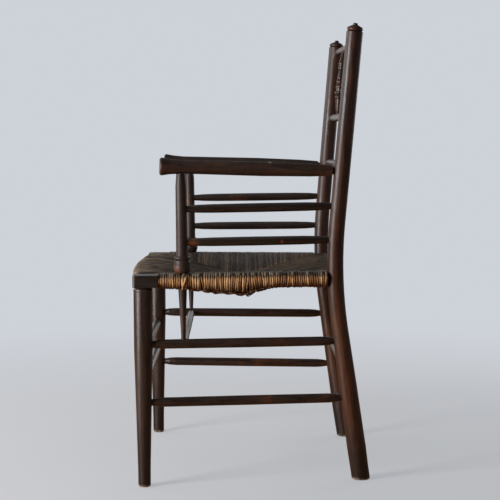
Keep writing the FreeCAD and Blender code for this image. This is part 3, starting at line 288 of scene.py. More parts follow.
def stained_wood(name, grain, warm, rubbed, dust_and_sheen_amount, patch_scale=17.0, roughness=0.24,
                 knocks=(), chips=(), scuff=0.0, shin=None):
    """Dark stained, waxed wood with its grain along one axis. warm is the paler tone of the stain, rubbed
    and dust are amounts from 0 to 1, dust being grey on upward faces and partly a painted sheen on their
    tops, and roughness is that of the best kept wax. knocks and chips are spots and their reach, rubbed
    brown or bare, scuff is the height of a foot's bare rim, and shin gives two heights between which the
    outer side is rubbed."""
    material, tree, shader = new_finish(name)
    point = tree.nodes.new("ShaderNodeTexCoord").outputs["Object"]
    facing = split_axes(tree, tree.nodes.new("ShaderNodeNewGeometry").outputs["Normal"])
    fibres = place_group(tree, grain_group, Point=point, Stretch=grain, Figure_Scale=95.0, Pore_Scale=900.0)
    rub = place_group(tree, rub_group, Point=point, Stretch=grain, Patch_Scale=patch_scale, Amount=rubbed)
    dust_and_sheen_lying = place_group(tree, dust_and_sheen_group, Point=point, Up=facing["Z"], Amount=dust_and_sheen_amount)
    worn = rub["Rubbed"]
    for spot, reach in knocks:
        knock = place_group(tree, knock_group, Point=point, Spot=spot, Reach=reach)
        worn = calculate(tree, "MAXIMUM", worn, knock["Knocked"])
    if shin:
        outward = calculate(tree, "ABSOLUTE", facing["X"])
        rubbed_shin = place_group(tree, shin_group, Point=point, Outward=outward, Low=shin[0], High=shin[1])
        worn = calculate(tree, "MAXIMUM", worn, rubbed_shin["Rubbed"])
    color = blend_colors(tree, fibres["Figure"], STAIN_DARK, warm)
    color = blend_colors(tree, worn, color, RUBBED_BROWN)
    color = blend_colors(tree, calculate(tree, "MULTIPLY", fibres["Pores"], PORE_SHARE), color, STAIN_DARK)
    for spot, reach in chips:
        chip = place_group(tree, knock_group, Point=point, Spot=spot, Reach=reach)
        color = blend_colors(tree, chip["Knocked"], color, BARE_WOOD)
    if scuff:
        foot = place_group(tree, scuff_group, Point=point, Height=scuff)
        # Darker towards the floor, fading out above the foot's rim.
        color = blend_colors(tree, foot["Darkened Low"], color, STAIN_DARK)
        color = blend_colors(tree, foot["Scuffed"], color, BARE_WOOD)
    # Grey on faces that look upwards: dust, and partly a painted sheen on the tops.
    color = blend_colors(tree, dust_and_sheen_lying["Dust and Sheen"], color, DUST_AND_SHEEN_GREY)
    tree.links.new(color, shader.inputs["Base Color"])
    wax = spread(tree, fibres["Figure"], low=0.0, high=1.0, to_low=roughness, to_high=roughness + WAX_RANGE)
    tree.links.new(add_share(tree, wax, DUST_DULLS, dust_and_sheen_lying["Dust and Sheen"]), shader.inputs["Roughness"])
    raise_surface(tree, shader, fibres["Height"], strength=0.22, distance=0.0004)
    shader.inputs["IOR"].default_value = 1.45
    shader.inputs["Coat Weight"].default_value = 0.12
    shader.inputs["Coat Roughness"].default_value = 0.3
    return material


def dress(node, material):
    """Give a carried-over part its finish."""
    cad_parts[node].data.materials.clear()
    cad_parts[node].data.materials.append(material)


FOOT_SCUFF = 0.012
leg_wood = stained_wood("front_leg_wood", UPRIGHT_GRAIN, LEG_STAIN, rubbed=0.3, dust_and_sheen_amount=0.2, roughness=0.28,
                        scuff=FOOT_SCUFF)
for hand in HANDS:
    dress(f"front_leg_{hand}", leg_wood)

# Corner blocks. Square blocks of the same wood at the seat's front corners, dark on top under grey dust that
# is partly a painted sheen.
# The front legs are glued into them from below, the front and side seat rails from the side.
LENGTHWISE_GRAIN = (1.0, 0.05, 1.0)
BLOCK_STAIN = (0.022, 0.018, 0.0155)
block_wood = stained_wood("corner_block_wood", LENGTHWISE_GRAIN, BLOCK_STAIN, rubbed=0.1, dust_and_sheen_amount=0.4,
                          roughness=0.3)
for hand in HANDS:
    dress(f"corner_block_{hand}", block_wood)

# Rear posts. Each is one bent, turned pole from the floor to its finial, raked back above the seat.
# The stain is rubbed brown where hands have touched the post, and low down by feet.
POST_STAIN = (0.066, 0.0225, 0.011)
POST_SHIN = (0.05, 0.48)
post_wood = stained_wood("rear_post_wood", UPRIGHT_GRAIN, POST_STAIN, rubbed=0.45, dust_and_sheen_amount=0.12,
                         roughness=0.34, shin=POST_SHIN, scuff=FOOT_SCUFF)
for hand in HANDS:
    dress(f"rear_post_{hand}", post_wood)

# Stretchers. Thin turned rods of the same wood, plump in the middle, below the seat. Their ends are
# glued into the legs and posts, those of the cross stretcher into the upper side stretchers. Feet have
# rubbed them here and there.
SIDEWAYS_GRAIN = (0.05, 1.0, 1.0)
STRETCHER_STAIN = (0.047, 0.0245, 0.018)
side_stretcher_wood = stained_wood("side_stretcher_wood", LENGTHWISE_GRAIN, STRETCHER_STAIN, rubbed=0.38,
                                   dust_and_sheen_amount=0.15)
cross_stretcher_wood = stained_wood("cross_stretcher_wood", SIDEWAYS_GRAIN, STRETCHER_STAIN, rubbed=0.38,
                                    dust_and_sheen_amount=0.15)
for hand in HANDS:
    for level in ("upper", "lower"):
        dress(f"side_stretcher_{level}_{hand}", side_stretcher_wood)
for node in ("front_stretcher_upper", "front_stretcher_lower", "rear_stretcher", "cross_stretcher"):
    dress(node, cross_stretcher_wood)

# Seat rails. Plain sawn bars between the blocks and the posts, hidden in the rush that is wound over
# them. They are left in raw wood.
RAW_DARK = (0.3, 0.185, 0.09)
RAW_PALE = (0.42, 0.28, 0.15)
RAW_PORES = (0.2, 0.11, 0.05)


def raw_wood(name, grain):
    """Sawn wood without stain or wax, with its grain along one axis."""
    material, tree, shader = new_finish(name)
    point = tree.nodes.new("ShaderNodeTexCoord").outputs["Object"]
    fibres = place_group(tree, grain_group, Point=point, Stretch=grain, Figure_Scale=60.0, Pore_Scale=700.0)
    color = blend_colors(tree, fibres["Figure"], RAW_DARK, RAW_PALE)
    color = blend_colors(tree, fibres["Pores"], color, RAW_PORES)
    tree.links.new(color, shader.inputs["Base Color"])
    sawn = spread(tree, fibres["Figure"], low=0.0, high=1.0, to_low=0.6, to_high=0.75)
    tree.links.new(sawn, shader.inputs["Roughness"])
    raise_surface(tree, shader, fibres["Height"], strength=0.3, distance=0.0005)
    return material


side_rail_wood = raw_wood("side_rail_wood", LENGTHWISE_GRAIN)
cross_rail_wood = raw_wood("cross_rail_wood", SIDEWAYS_GRAIN)
for hand in HANDS:
    dress(f"seat_rail_{hand}", side_rail_wood)
for end in ("front", "rear"):
    dress(f"seat_rail_{end}", cross_rail_wood)

# Rush seat. Rush leaves are twisted into a strand and wound over the rails in four triangles. Each turn
# comes up at a diagonal seam, runs out over the rail, round its edge and back below. The top is grimy
# from sitting, and on the sitter's left the edge sags and frays.
SIDES = (("left", 1), ("right", -1))
STRAND_PITCH = 0.0042
STRAND_RADIUS = 0.00225
STRAND_SIDES = 7
SEED = 7
# A strand is twisted, not quite round, and pressed flat where it lies level. A broken end tapers.
TWIST_PITCH = 0.03
TWIST_SPREAD = (0.85, 1.15)
FLATTENING = 0.13
PRESSED_THIN = 0.22
PRESSED_WIDE = 0.12
TAPER = 0.75
# No two turns are alike. Place is in pitches, lift, thickness and wander are in radii, and a wander's
# waves are in radians per metre. Turns lean over the rail's edge, each much as the one before it.
PLACE_SPREAD = 0.06
LIFT_SPREAD = (-0.12, 0.16)
THICKNESS_SPREAD = (0.93, 1.1)
WANDER = 0.14
WANDER_WAVES = (50.0, 75.0)
LEAN = 0.075
LEAN_KEPT = 0.72
# Points along a turn: steps above and below the seat, and how far into a step its point stands
TOP_STEP = 0.0048
UNDER_STEP = 0.0095
EDGE_STEPS = 10
TOP_START = 0.35
UNDER_START = 0.65
# At the seam a turn stops short and dives down. Gap, tuck and reach are in strand radii, and foot, shoulder
# and underside are shares of the seat's half thickness.
SEAM_GAP = 0.6
SEAM_TUCK = 0.1
DIVE_REACH = 1.4
SEAM_FOOT = 0.1
SEAM_SHOULDER = 0.5
SEAM_UNDERSIDE = 0.3
# Over this length the nearness to a seam, where the rush stays cleaner, fades out
SEAM_CLEAN = 0.011
# Sitting has pressed a dish into the seat. It starts beside the rails and is shallower below.
DISH_DEPTH = 0.034
DISH_BELOW = 0.72
DISH_EASE = 1.2
RAIL_COVER = 0.034
# In plan, on the left: the seams at the end of the middle bridge and in the rear corner, the rear end of
# the outer edge, and where its last strand lies. The front edge is bowed.
SEAM_APEX = (0.062, -0.0192)
REAR_SEAM = (0.1942, 0.1505)
SIDE_EDGE_REAR = (0.2276, 0.161)
SIDE_STRANDS_END = 0.1425
FRONT_BOW_RADIUS = 1.834
# Strands part round the arm support that comes through the seat
SUPPORT_HOLE = (0.2349, -0.1248)
SUPPORT_CLEAR = 0.0106
PARTING_REACH = 0.0085
# How far each edge hangs below the rail, as (place along Y, depth), and how unevenly
SAG = {
    "left": ((-0.17, 0.0), (-0.12, 0.0018), (-0.1, 0.0052), (-0.05, 0.009), (-0.02, 0.011),
             (-0.008, 0.0125), (0.008, 0.007), (0.03, 0.0026), (0.06, 0.0014), (0.1, 0.0016), (0.15, 0.002)),
    "right": ()}
SAG_REACH = 0.06
SAG_SPREAD = (0.92, 1.05)
SLACK = {"left": 0.0014, "right": 0.0005}

block_low, block_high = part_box("corner_block_left")
panel_low, panel_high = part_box("rush_panel_left")
front_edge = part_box("rush_panel_front")[0].y
rear_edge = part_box("rush_panel_rear")[1].y
seat_level = (panel_low.z + panel_high.z) / 2
rush_half = (panel_high.z - panel_low.z) / 2
front_seam = (block_low.x, block_high.y)
chance = random.Random(SEED)


def share_between(value, low, high):
    """How far a value has come from low to high, 0 at low and 1 at high."""
    return (value - low) / (high - low)


def sag_at(y, hand):
    """The sag of a side's edge at a place along it, eased between the places that are given."""
    for (before, first), (after, second) in zip(SAG[hand], SAG[hand][1:]):
        if before <= y <= after:
            share = share_between(y, before, after)
            eased = share * share * (3.0 - 2.0 * share)
            return first + (second - first) * eased
    return 0.0


def seam_x(y):
    """How far from the middle the seam between a side and the front or rear lies."""
    end = front_seam if y < SEAM_APEX[1] else REAR_SEAM
    return SEAM_APEX[0] + (end[0] - SEAM_APEX[0]) * share_between(y, SEAM_APEX[1], end[1])


def seam_y(x, end):
    """Where the seam of the front or rear triangle lies, level along the bridge in the middle."""
    beyond = max(abs(x) - SEAM_APEX[0], 0.0) / (end[0] - SEAM_APEX[0])
    return SEAM_APEX[1] + (end[1] - SEAM_APEX[1]) * beyond


def seam_depth(seam):
    """How far sitting has pressed a seam down: not at all in the corner, most at the middle bridge."""
    corner = front_seam if seam[1] < SEAM_APEX[1] else REAR_SEAM
    beyond = max(abs(seam[0]) - SEAM_APEX[0], 0.0)
    return DISH_DEPTH * (1.0 - beyond / (corner[0] - SEAM_APEX[0]))


def side_edge(y):
    """The outer edge of a side triangle, from the corner block to the rear post."""
    share = share_between(y, block_high.y, SIDE_EDGE_REAR[1])
    return block_high.x + (SIDE_EDGE_REAR[0] - block_high.x) * share


def turn_of_rush(reach, sag, lift, depth):
    """One turn of a strand from the seam round to the seam, as (distance in from the edge, height, turn).
    The turn is 1 above the rail, 0 at the outer edge and -1 below. The seam has sunk by depth."""
    def sunk(inward):
        """How far the top has sunk at a distance in from the edge."""
        share = max(inward - RAIL_COVER, 0.0) / max(reach - RAIL_COVER, RAIL_COVER)
        return depth * min(share, 1.0) ** DISH_EASE

    def hang(inward):
        """How far the strand hangs below the rail at a distance in from the edge."""
        return sag * math.exp(-max(inward - rush_half, 0.0) / SAG_REACH)

    ring = rush_half - STRAND_RADIUS
    top_count = max(2, round((reach - rush_half) / TOP_STEP))
    under_count = max(2, round((reach - rush_half) / UNDER_STEP))
    end = reach - SEAM_GAP * STRAND_RADIUS
    path = [(end, seat_level + SEAM_FOOT * rush_half - sunk(end), 1.0),
            (end - SEAM_TUCK * STRAND_RADIUS, seat_level + SEAM_SHOULDER * ring - sunk(end), 1.0)]
    for number in range(top_count):
        inward = reach + (rush_half - reach) * (number + TOP_START) / top_count
        dive = STRAND_RADIUS * math.exp(-(reach - inward) / STRAND_RADIUS / DIVE_REACH)
        path.append((inward, seat_level + ring + lift - dive - sunk(inward), 1.0))
    for number in range(EDGE_STEPS + 1):
        angle = math.pi * (0.5 + number / EDGE_STEPS)
        turn = math.sin(angle)
        height = (ring if turn > 0.0 else ring + sag) * turn
        path.append((rush_half + ring * math.cos(angle), seat_level + height, turn))
    for number in range(under_count):
        inward = rush_half + (reach - rush_half) * (number + UNDER_START) / under_count
        path.append((inward, seat_level - ring - hang(inward) - DISH_BELOW * sunk(inward), -1.0))
    path.append((end, seat_level - SEAM_UNDERSIDE * ring - DISH_BELOW * sunk(end), -1.0))
    return path


class Strands:
    """Collects strands as one mesh: a tone for each strand, its turn and nearness to a seam, and a
    fibre map along and round it. lean is that of the strand that was laid last."""

    def __init__(self):
        self.points = []
        self.faces = []
        self.tones = []
        self.turns = []
        self.seams = []
        self.fibres = []
        self.lean = 0.0

    def sweep(self, path, sideways, radius, tone, marks, taper=False):
        """A twisted strand along a path of points. sideways is square to its run, and marks are the
        turn and the nearness to a seam at each point."""
        first = len(self.points)
        phase = chance.uniform(0.0, math.tau)
        twist = math.tau / TWIST_PITCH * chance.uniform(*TWIST_SPREAD)
        along = 0.0
        for place, point in enumerate(path):
            before = path[max(place - 1, 0)]
            after = path[min(place + 1, len(path) - 1)]
            run = (after - before).normalized()
            outward = run.cross(sideways).normalized()
            across = outward.cross(run).normalized()
            last_along = along
            along += (point - before).length
            size = radius * (1.0 - TAPER * place / (len(path) - 1)) if taper else radius
            pressed = 0.0 if taper else 1.0 - abs(run.z)
            tall = (1.0 - PRESSED_THIN * pressed) * outward
            wide = (1.0 + PRESSED_WIDE * pressed) * across
            turn, seam = marks[place]
            for side in range(STRAND_SIDES):
                angle = math.tau * side / STRAND_SIDES
                reach = size * (1.0 + FLATTENING * math.cos(2.0 * angle - twist * along - phase))
                self.points.append(point + reach * (math.cos(angle) * tall + math.sin(angle) * wide))
                self.tones.append(tone)
                self.turns.append(turn)
                self.seams.append(seam)
            if place > 0:
                self.join_rings(first + STRAND_SIDES * place, last_along, along)
        final = len(self.points) - STRAND_SIDES
        self.faces.append(tuple(range(first + STRAND_SIDES - 1, first - 1, -1)))
        self.faces.append(tuple(range(final, final + STRAND_SIDES)))
        self.fibres += [((0.0, 0.0),) * STRAND_SIDES] * 2

    def join_rings(self, ring, last_along, along):
        """The faces between a ring of points and the one before it, with their fibre map."""
        for side in range(STRAND_SIDES):
            next_side = (side + 1) % STRAND_SIDES
            self.faces.append((ring - STRAND_SIDES + side, ring - STRAND_SIDES + next_side,
                               ring + next_side, ring + side))
            low = side / STRAND_SIDES
            high = (side + 1) / STRAND_SIDES
            self.fibres.append(((last_along, low), (last_along, high), (along, high), (along, low)))

    def piece(self, name, node, finish):
        """The collected strands as an object that stands in for a carried-over part."""
        mesh = bpy.data.meshes.new(name)
        mesh.from_pydata(self.points, [], self.faces)
        mesh.polygons.foreach_set("use_smooth", [True] * len(mesh.polygons))
        for mark, values in (("tone", self.tones), ("turn", self.turns), ("seam", self.seams)):
            mesh.attributes.new(mark, "FLOAT", "POINT").data.foreach_set("value", values)
        corners = [corner for face in self.fibres for corner in face]
        fibre_map = mesh.uv_layers.new(name="fibres")
        fibre_map.data.foreach_set("uv", [term for corner in corners for term in corner])
        thing = bpy.data.objects.new(name, mesh)
        bpy.context.scene.collection.objects.link(thing)
        mesh.materials.append(finish)
        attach(thing, "root")
        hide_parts(node)


def strand_places(first, last):
    """Evenly pitched places for strands, each a little off."""
    count = round((last - first) / STRAND_PITCH)
    for number in range(count + 1):
        yield first + (last - first) * number / count + chance.gauss(0.0, PLACE_SPREAD) * STRAND_PITCH


def lay_turn(strands, edge, seam, sag=0.0, shift=None):
    """One turn of rush between a point of the outer edge and a point of the seam, both in plan. shift
    moves its points aside."""
    inward = Vector((seam[0] - edge[0], seam[1] - edge[1], 0.0))
    reach = inward.length
    inward.normalize()
    sideways = inward.cross(Vector((0.0, 0.0, 1.0)))
    lift = chance.uniform(*LIFT_SPREAD) * STRAND_RADIUS
    wave = chance.uniform(0.0, math.tau)
    wave_number = chance.uniform(*WANDER_WAVES)
    strands.lean = LEAN_KEPT * strands.lean + chance.gauss(0.0, LEAN)
    path = []
    marks = []
    for distance, height, turn in turn_of_rush(reach, sag, lift, seam_depth(seam)):
        wander = WANDER * STRAND_RADIUS * math.sin(wave + distance * wave_number)
        over_edge = math.exp(-distance / rush_half) * (height - seat_level)
        point = Vector((edge[0], edge[1], 0.0)) + distance * inward
        point += (wander + strands.lean * over_edge) * sideways
        point.z = height
        path.append(shift(point) if shift else point)
        marks.append((turn, math.exp((distance - reach) / SEAM_CLEAN)))
    radius = STRAND_RADIUS * chance.uniform(*THICKNESS_SPREAD)
    strands.sweep(path, sideways, radius, chance.random(), marks)


def part_round_support(side):
    """How strands part where the arm support comes through the seat."""
    hole = (side * SUPPORT_HOLE[0], SUPPORT_HOLE[1])

    def shift(point):
        """Move a point forwards or backwards, clear of the support."""
        near = math.exp(-((point.x - hole[0]) / PARTING_REACH) ** 2)
        off = point.y - hole[1]
        point.y = hole[1] + math.copysign(math.sqrt(off * off + SUPPORT_CLEAR ** 2 * near), off)
        return point
    return shift


# Broken strands along the sagging left edge, between two places along Y. Some end loose, the others are
# loops. Inward, up, run and curl are in metres, a drop is in shares of the sag, thickness in strand radii
# and a loose end's bend in half turns. A mark is the turn and the nearness to a seam.
FRAY_FROM = -0.118
FRAY_TO = 0.036
FRAY_COUNT = 120
FRAY_STEPS = 7
FRAY_INWARD = (0.005, 0.02)
FRAY_UP = (0.001, 0.004)
FRAY_RUN = (0.005, 0.014)
FRAY_DROP = (0.15, 0.42)
FRAY_CURL = (-0.003, 0.006)
FRAY_THICKNESS = (0.6, 0.95)
FRAY_TONE = (0.0, 0.8)
FRAY_MARK = (-1.0, 0.0)
LOOSE_SHARE = 0.3
LOOSE_BEND = 0.6
# One loose pale blade beside the arm support, as (Y, height)
BLADE = ((-0.1179, 0.3945), (-0.119, 0.389), (-0.1208, 0.384), (-0.1234, 0.379), (-0.1245, 0.3745),
         (-0.125, 0.37))
BLADE_OUT = 0.0016
BLADE_RADIUS = 0.0019
BLADE_TONE = 1.25
BLADE_MARK = (0.1, 0.0)


def fray_edge(strands):
    """Broken ends and loops of rush that hang from the sagging edge, and the loose blade."""
    outward = Vector((1.0, 0.0, 0.0))
    for number in range(FRAY_COUNT):
        y = FRAY_FROM + (FRAY_TO - FRAY_FROM) * (number + chance.random()) / FRAY_COUNT
        sag = sag_at(y, "left")
        start_x = side_edge(y) - chance.uniform(*FRAY_INWARD)
        start_z = seat_level - rush_half - sag + chance.uniform(*FRAY_UP)
        run = chance.uniform(*FRAY_RUN) * chance.choice((-1.0, 1.0))
        drop = chance.uniform(*FRAY_DROP) * sag
        curl = chance.uniform(*FRAY_CURL)
        loose = chance.random() < LOOSE_SHARE
        bend = LOOSE_BEND * math.pi if loose else math.pi
        path = []
        for step in range(FRAY_STEPS):
            share = step / (FRAY_STEPS - 1)
            hang = drop * math.sin(bend * share)
            aside = Vector((curl * math.sin(math.pi * share), run * share, -hang))
            path.append(Vector((start_x, y, start_z)) + aside)
        radius = STRAND_RADIUS * chance.uniform(*FRAY_THICKNESS)
        tone = chance.uniform(*FRAY_TONE)
        strands.sweep(path, outward, radius, tone, [FRAY_MARK] * FRAY_STEPS, taper=loose)
    blade = []
    for y, height in BLADE:
        rise = max(height - seat_level, 0.0)
        inward = rush_half - math.sqrt(rush_half ** 2 - rise ** 2)
        blade.append(Vector((side_edge(y) - inward + BLADE_OUT, y, height)))
    strands.sweep(blade, outward, BLADE_RADIUS, BLADE_TONE, [BLADE_MARK] * len(blade), taper=True)


RUSH_DARK = (0.24, 0.098, 0.032)
RUSH_STRAW = (0.47, 0.245, 0.105)
RUSH_PALE = (0.74, 0.47, 0.225)
# Painted shade: the lower half of each edge roll and the seat's underside are darkened to this brown.
RUSH_SHADE_BROWN = (0.06, 0.02, 0.007)
GRIME_DARK = (0.0125, 0.009, 0.007)
GRIME_PALE = (0.108, 0.079, 0.055)
# Pale rubbed rush, also used for a painted highlight along the rim.
RUSH_WORN_AND_HIGHLIGHT = (0.4, 0.305, 0.22)
# Fibres stretch along a strand and round it, and differ from strand to strand
FIBRE_STRETCH = (30.0, 7.0, 90.0)
FIBRE_SHARE = 0.5
# How ragged patches and a strand's own tone make the rims of the grime and of the brown below
PATCH_RAGGED = 0.9
STRAND_RAGGED = 0.25
# How much blotches and strands streak the grime, and how ragged the rubbed front ends
STREAKED = 0.55
FRONT_RAGGED = 0.06


def strand_mark(tree, name):
    """A value that the strands carry: tone, turn or seam."""
    node = tree.nodes.new("ShaderNodeAttribute")
    node.attribute_name = name
    return node.outputs["Fac"]


def strand_fibres(tree, tone):
    """Fibres along the strands, as a grey value."""
    fibre_map = tree.nodes.new("ShaderNodeUVMap")
    fibre_map.uv_map = "fibres"
    along = split_axes(tree, fibre_map.outputs["UV"])
    thread = add(tree, "CombineXYZ", X=along["X"], Y=along["Y"], Z=tone)
    stretched = stretch(tree, thread.outputs["Vector"], FIBRE_STRETCH)
    return noise(tree, stretched, scale=1.6, detail=4.0, roughness=0.6)


def clean_rush(tree, mixed, painted_shade_below):
    """The colour of rush without grime: dark to pale straw, with a painted dark brown shade on the lower
    half of the edge and below the seat.
    """
    straw = blend_colors(tree, spread(tree, mixed, low=0.15, high=0.62), RUSH_DARK, RUSH_STRAW)
    straw = blend_colors(tree, spread(tree, mixed, low=0.68, high=1.15), straw, RUSH_PALE)
    return blend_colors(tree, painted_shade_below, straw, RUSH_SHADE_BROWN)


def grimy_rush(tree, mixed, patch, broad, turn, y):
    """The colour of grimy rush: streaked, rubbed pale towards the front, and pale along the rim, where the
    pale strands are partly rubbed wear and partly a painted highlight.
    """
    blotches = calculate(tree, "MULTIPLY", calculate(tree, "ADD", broad, patch), STREAKED)
    streaks = spread(tree, add_share(tree, blotches, STREAKED, mixed), low=0.6, high=1.22)
    forward = add_share(tree, y, FRONT_RAGGED, patch)
    front = spread(tree, forward, low=-0.19, high=-0.08, to_low=1.0, to_high=0.0)
    rubbed_front = calculate(tree, "MULTIPLY", front, streaks)
    # Along the rim, where the strands bend over the edge, pale strands are partly rubbed wear and partly a
    # painted highlight.
    rim_start = spread(tree, turn, low=0.45, high=0.85)
    rim_end = spread(tree, turn, low=0.95, high=1.0, to_low=1.0, to_high=0.0)
    pale_strands = spread(tree, mixed, low=0.3, high=1.0, to_high=0.7)
    pale_rim_worn_and_highlit = calculate(tree, "MULTIPLY", calculate(tree, "MULTIPLY", rim_start, rim_end), pale_strands)
    rubbed = calculate(tree, "MAXIMUM", rubbed_front, pale_rim_worn_and_highlit)
    grime = blend_colors(tree, streaks, GRIME_DARK, GRIME_PALE)
    return blend_colors(tree, rubbed, grime, RUSH_WORN_AND_HIGHLIGHT)


def rush_material():
    """Straw-coloured rush with a tone for each strand, fibres along it, grime above and a painted dark brown
    shade below.
    """
    material, tree, shader = new_finish("rush")
    tone = strand_mark(tree, "tone")
    turn = strand_mark(tree, "turn")
    seam = strand_mark(tree, "seam")
    fibre = strand_fibres(tree, tone)
    point = tree.nodes.new("ShaderNodeTexCoord").outputs["Object"]
    y = split_axes(tree, point)["Y"]
    patch = noise(tree, point, scale=38.0, detail=4.0, roughness=0.6)
    broad = noise(tree, point, scale=13.0, detail=3.0, roughness=0.6)
    own = spread(tree, tone, low=0.0, high=1.0, to_high=0.75)
    mixed = add_share(tree, own, FIBRE_SHARE, fibre)
    ragged = add_share(tree, calculate(tree, "MULTIPLY", patch, PATCH_RAGGED), STRAND_RAGGED, own)
    turned = calculate(tree, "ADD", turn, ragged)
    # Painted shade below: dark brown from the lower half of the edge roll down to the underside.
    painted_shade_below = spread(tree, turned, low=-0.28, high=0.56, to_low=0.92, to_high=0.0)
    lying = spread(tree, turned, low=0.7, high=1.24, to_high=0.96)
    pale_seam = spread(tree, y, low=-0.03, high=0.05, to_low=0.2, to_high=0.42)
    bared = calculate(tree, "MULTIPLY", spread(tree, seam, low=0.15, high=1.0), pale_seam)
    grime = calculate(tree, "MULTIPLY", lying, calculate(tree, "SUBTRACT", 1.0, bared))
    clean = clean_rush(tree, mixed, painted_shade_below)
    grimy = grimy_rush(tree, mixed, patch, broad, turn, y)
    tree.links.new(blend_colors(tree, grime, clean, grimy), shader.inputs["Base Color"])
    dull = spread(tree, fibre, low=0.2, high=0.8, to_low=0.5, to_high=0.72)
    tree.links.new(dull, shader.inputs["Roughness"])
    raise_surface(tree, shader, fibre, strength=0.5, distance=0.0005)
    shader.inputs["Specular IOR Level"].default_value = 0.3
    return material


rush_finish = rush_material()
for hand, side in SIDES:
    strands = Strands()
    for y in strand_places(block_high.y + 0.5 * STRAND_PITCH, SIDE_STRANDS_END):
        sag = sag_at(y, hand) * chance.uniform(*SAG_SPREAD) + chance.uniform(0.0, SLACK[hand])
        lay_turn(strands, (side * side_edge(y), y), (side * seam_x(y), y), sag, part_round_support(side))
    if hand == "left":
        fray_edge(strands)
    strands.piece(f"rush_{hand}", f"rush_panel_{hand}", rush_finish)
for end, edge, corner, bow in (("front", front_edge, front_seam, 0.5 / FRONT_BOW_RADIUS),
                               ("rear", rear_edge, REAR_SEAM, 0.0)):
    strands = Strands()
    outermost = corner[0] - 0.5 * STRAND_PITCH
    for x in strand_places(-outermost, outermost):
        lay_turn(strands, (x, edge + bow * x * x), (x, seam_y(x, corner)))
    strands.piece(f"rush_{end}", f"rush_panel_{end}", rush_finish)

# Arm supports. Turned uprights that stand on the upper side stretchers, pass through the seat rails
# and carry the arms. Above the rush each has a bulb and a ring.
SUPPORT_STAIN = (0.041, 0.0185, 0.0118)
BULB_KNOCKS = (((0.246, -0.139, 0.4055), 0.015), ((-0.249, -0.13, 0.412), 0.014))
support_wood = stained_wood("arm_support_wood", UPRIGHT_GRAIN, SUPPORT_STAIN, rubbed=0.3, dust_and_sheen_amount=0.12,
                            patch_scale=24.0, roughness=0.48, knocks=BULB_KNOCKS)
for hand in HANDS:
    dress(f"arm_support_{hand}", support_wood)

# Arms and arm rails. Turned rods from the supports back to the posts. The arms flare to a trumpet end.
# Hands have rubbed the left one brown, and the right one is darker.
RAIL_STAIN = (0.03, 0.018, 0.0128)
ARM_STAIN = (0.064, 0.028, 0.0165)
ARM_CHIPS = (((0.2325, 0.0383, 0.6052), 0.0046),)
RAIL_KNOCKS = (((0.243, -0.112, 0.4545), 0.024), ((0.2293, 0.0604, 0.4575), 0.005),
               ((-0.23, 0.05, 0.455), 0.018))
arm_wood = {
    "left": stained_wood("left_arm_wood", LENGTHWISE_GRAIN, ARM_STAIN, rubbed=0.5, dust_and_sheen_amount=0.0, roughness=0.46,
                         chips=ARM_CHIPS),
    "right": stained_wood("right_arm_wood", LENGTHWISE_GRAIN, RAIL_STAIN, rubbed=0.2, dust_and_sheen_amount=0.0,
                          roughness=0.5)}
# The rails' heavy grey dust on top is partly a painted sheen.
arm_rail_wood = stained_wood("arm_rail_wood", LENGTHWISE_GRAIN, RAIL_STAIN, rubbed=0.25, dust_and_sheen_amount=0.45,
                             knocks=RAIL_KNOCKS)
for hand in HANDS:
    dress(f"arm_{hand}", arm_wood[hand])
    for level in ("upper", "lower"):
        dress(f"arm_rail_{level}_{hand}", arm_rail_wood)

# Back rails and spindles. Three slim rods, bent backwards between the posts, and small turned
# spindles between the upper two.
BACK_STAIN = (0.05, 0.0215, 0.0125)
# The heavy grey dust on the tops of rails and spindles is partly a painted sheen.
back_rail_wood = stained_wood("back_rail_wood", SIDEWAYS_GRAIN, BACK_STAIN, rubbed=0.4, dust_and_sheen_amount=0.5)
spindle_wood = stained_wood("spindle_wood", UPRIGHT_GRAIN, BACK_STAIN, rubbed=0.4, dust_and_sheen_amount=0.5)
for level in ("top", "middle", "lower"):
    dress(f"back_rail_{level}", back_rail_wood)
for place in ("left", "middle", "right"):
    dress(f"back_spindle_{place}", spindle_wood)

# Floor, light and camera. A pale floor that runs into a pale background, a large soft window light
# from the front of the chair, and the photograph's low view of its left side.
BACKGROUND = (0.617, 0.645, 0.694)
FLOOR_PALE = (0.8, 0.78, 0.76)
FLOOR_BOUNCE = (0.46, 0.235, 0.1)
FLOOR_RADIUS = 9.0
FLOOR_CORNERS = 96
# The floor fades into the background between two distances from the chair
FADE_NEAR = 0.4
FADE_FAR = 2.2
FADE_LEAST = 0.55
ROOM_LIGHT = (0.93, 0.96, 1.0)
ROOM_STRENGTH = 0.065


def blend_shaders(tree, mask, first, second):
    """The first shader where the mask is 0 and the second where it is 1."""
    node = add(tree, "MixShader", Fac=mask)
    tree.links.new(first, node.inputs[1])
    tree.links.new(second, node.inputs[2])
    return node.outputs["Shader"]


bpy.ops.mesh.primitive_circle_add(vertices=FLOOR_CORNERS, radius=FLOOR_RADIUS, fill_type="NGON")
floor = bpy.context.object
floor.name = "floor"
floor_finish, tree, shader = new_finish("floor_finish")
straight = tree.nodes.new("ShaderNodeLightPath").outputs["Is Camera Ray"]
tree.links.new(blend_colors(tree, straight, FLOOR_BOUNCE, FLOOR_PALE), shader.inputs["Base Color"])
shader.inputs["Roughness"].default_value = 0.9
away = tree.nodes.new("ShaderNodeVectorMath")
away.operation = "LENGTH"
tree.links.new(tree.nodes.new("ShaderNodeTexCoord").outputs["Object"], away.inputs[0])
faded = spread(tree, away.outputs["Value"], FADE_NEAR, FADE_FAR, to_low=FADE_LEAST)
seen_faded = calculate(tree, "MULTIPLY", faded, straight)
backdrop = add(tree, "Emission", Color=BACKGROUND, Strength=1.0)
surface = blend_shaders(tree, seen_faded, shader.outputs["BSDF"], backdrop.outputs["Emission"])
tree.links.new(surface, tree.nodes["Material Output"].inputs["Surface"])
floor.data.materials.append(floor_finish)

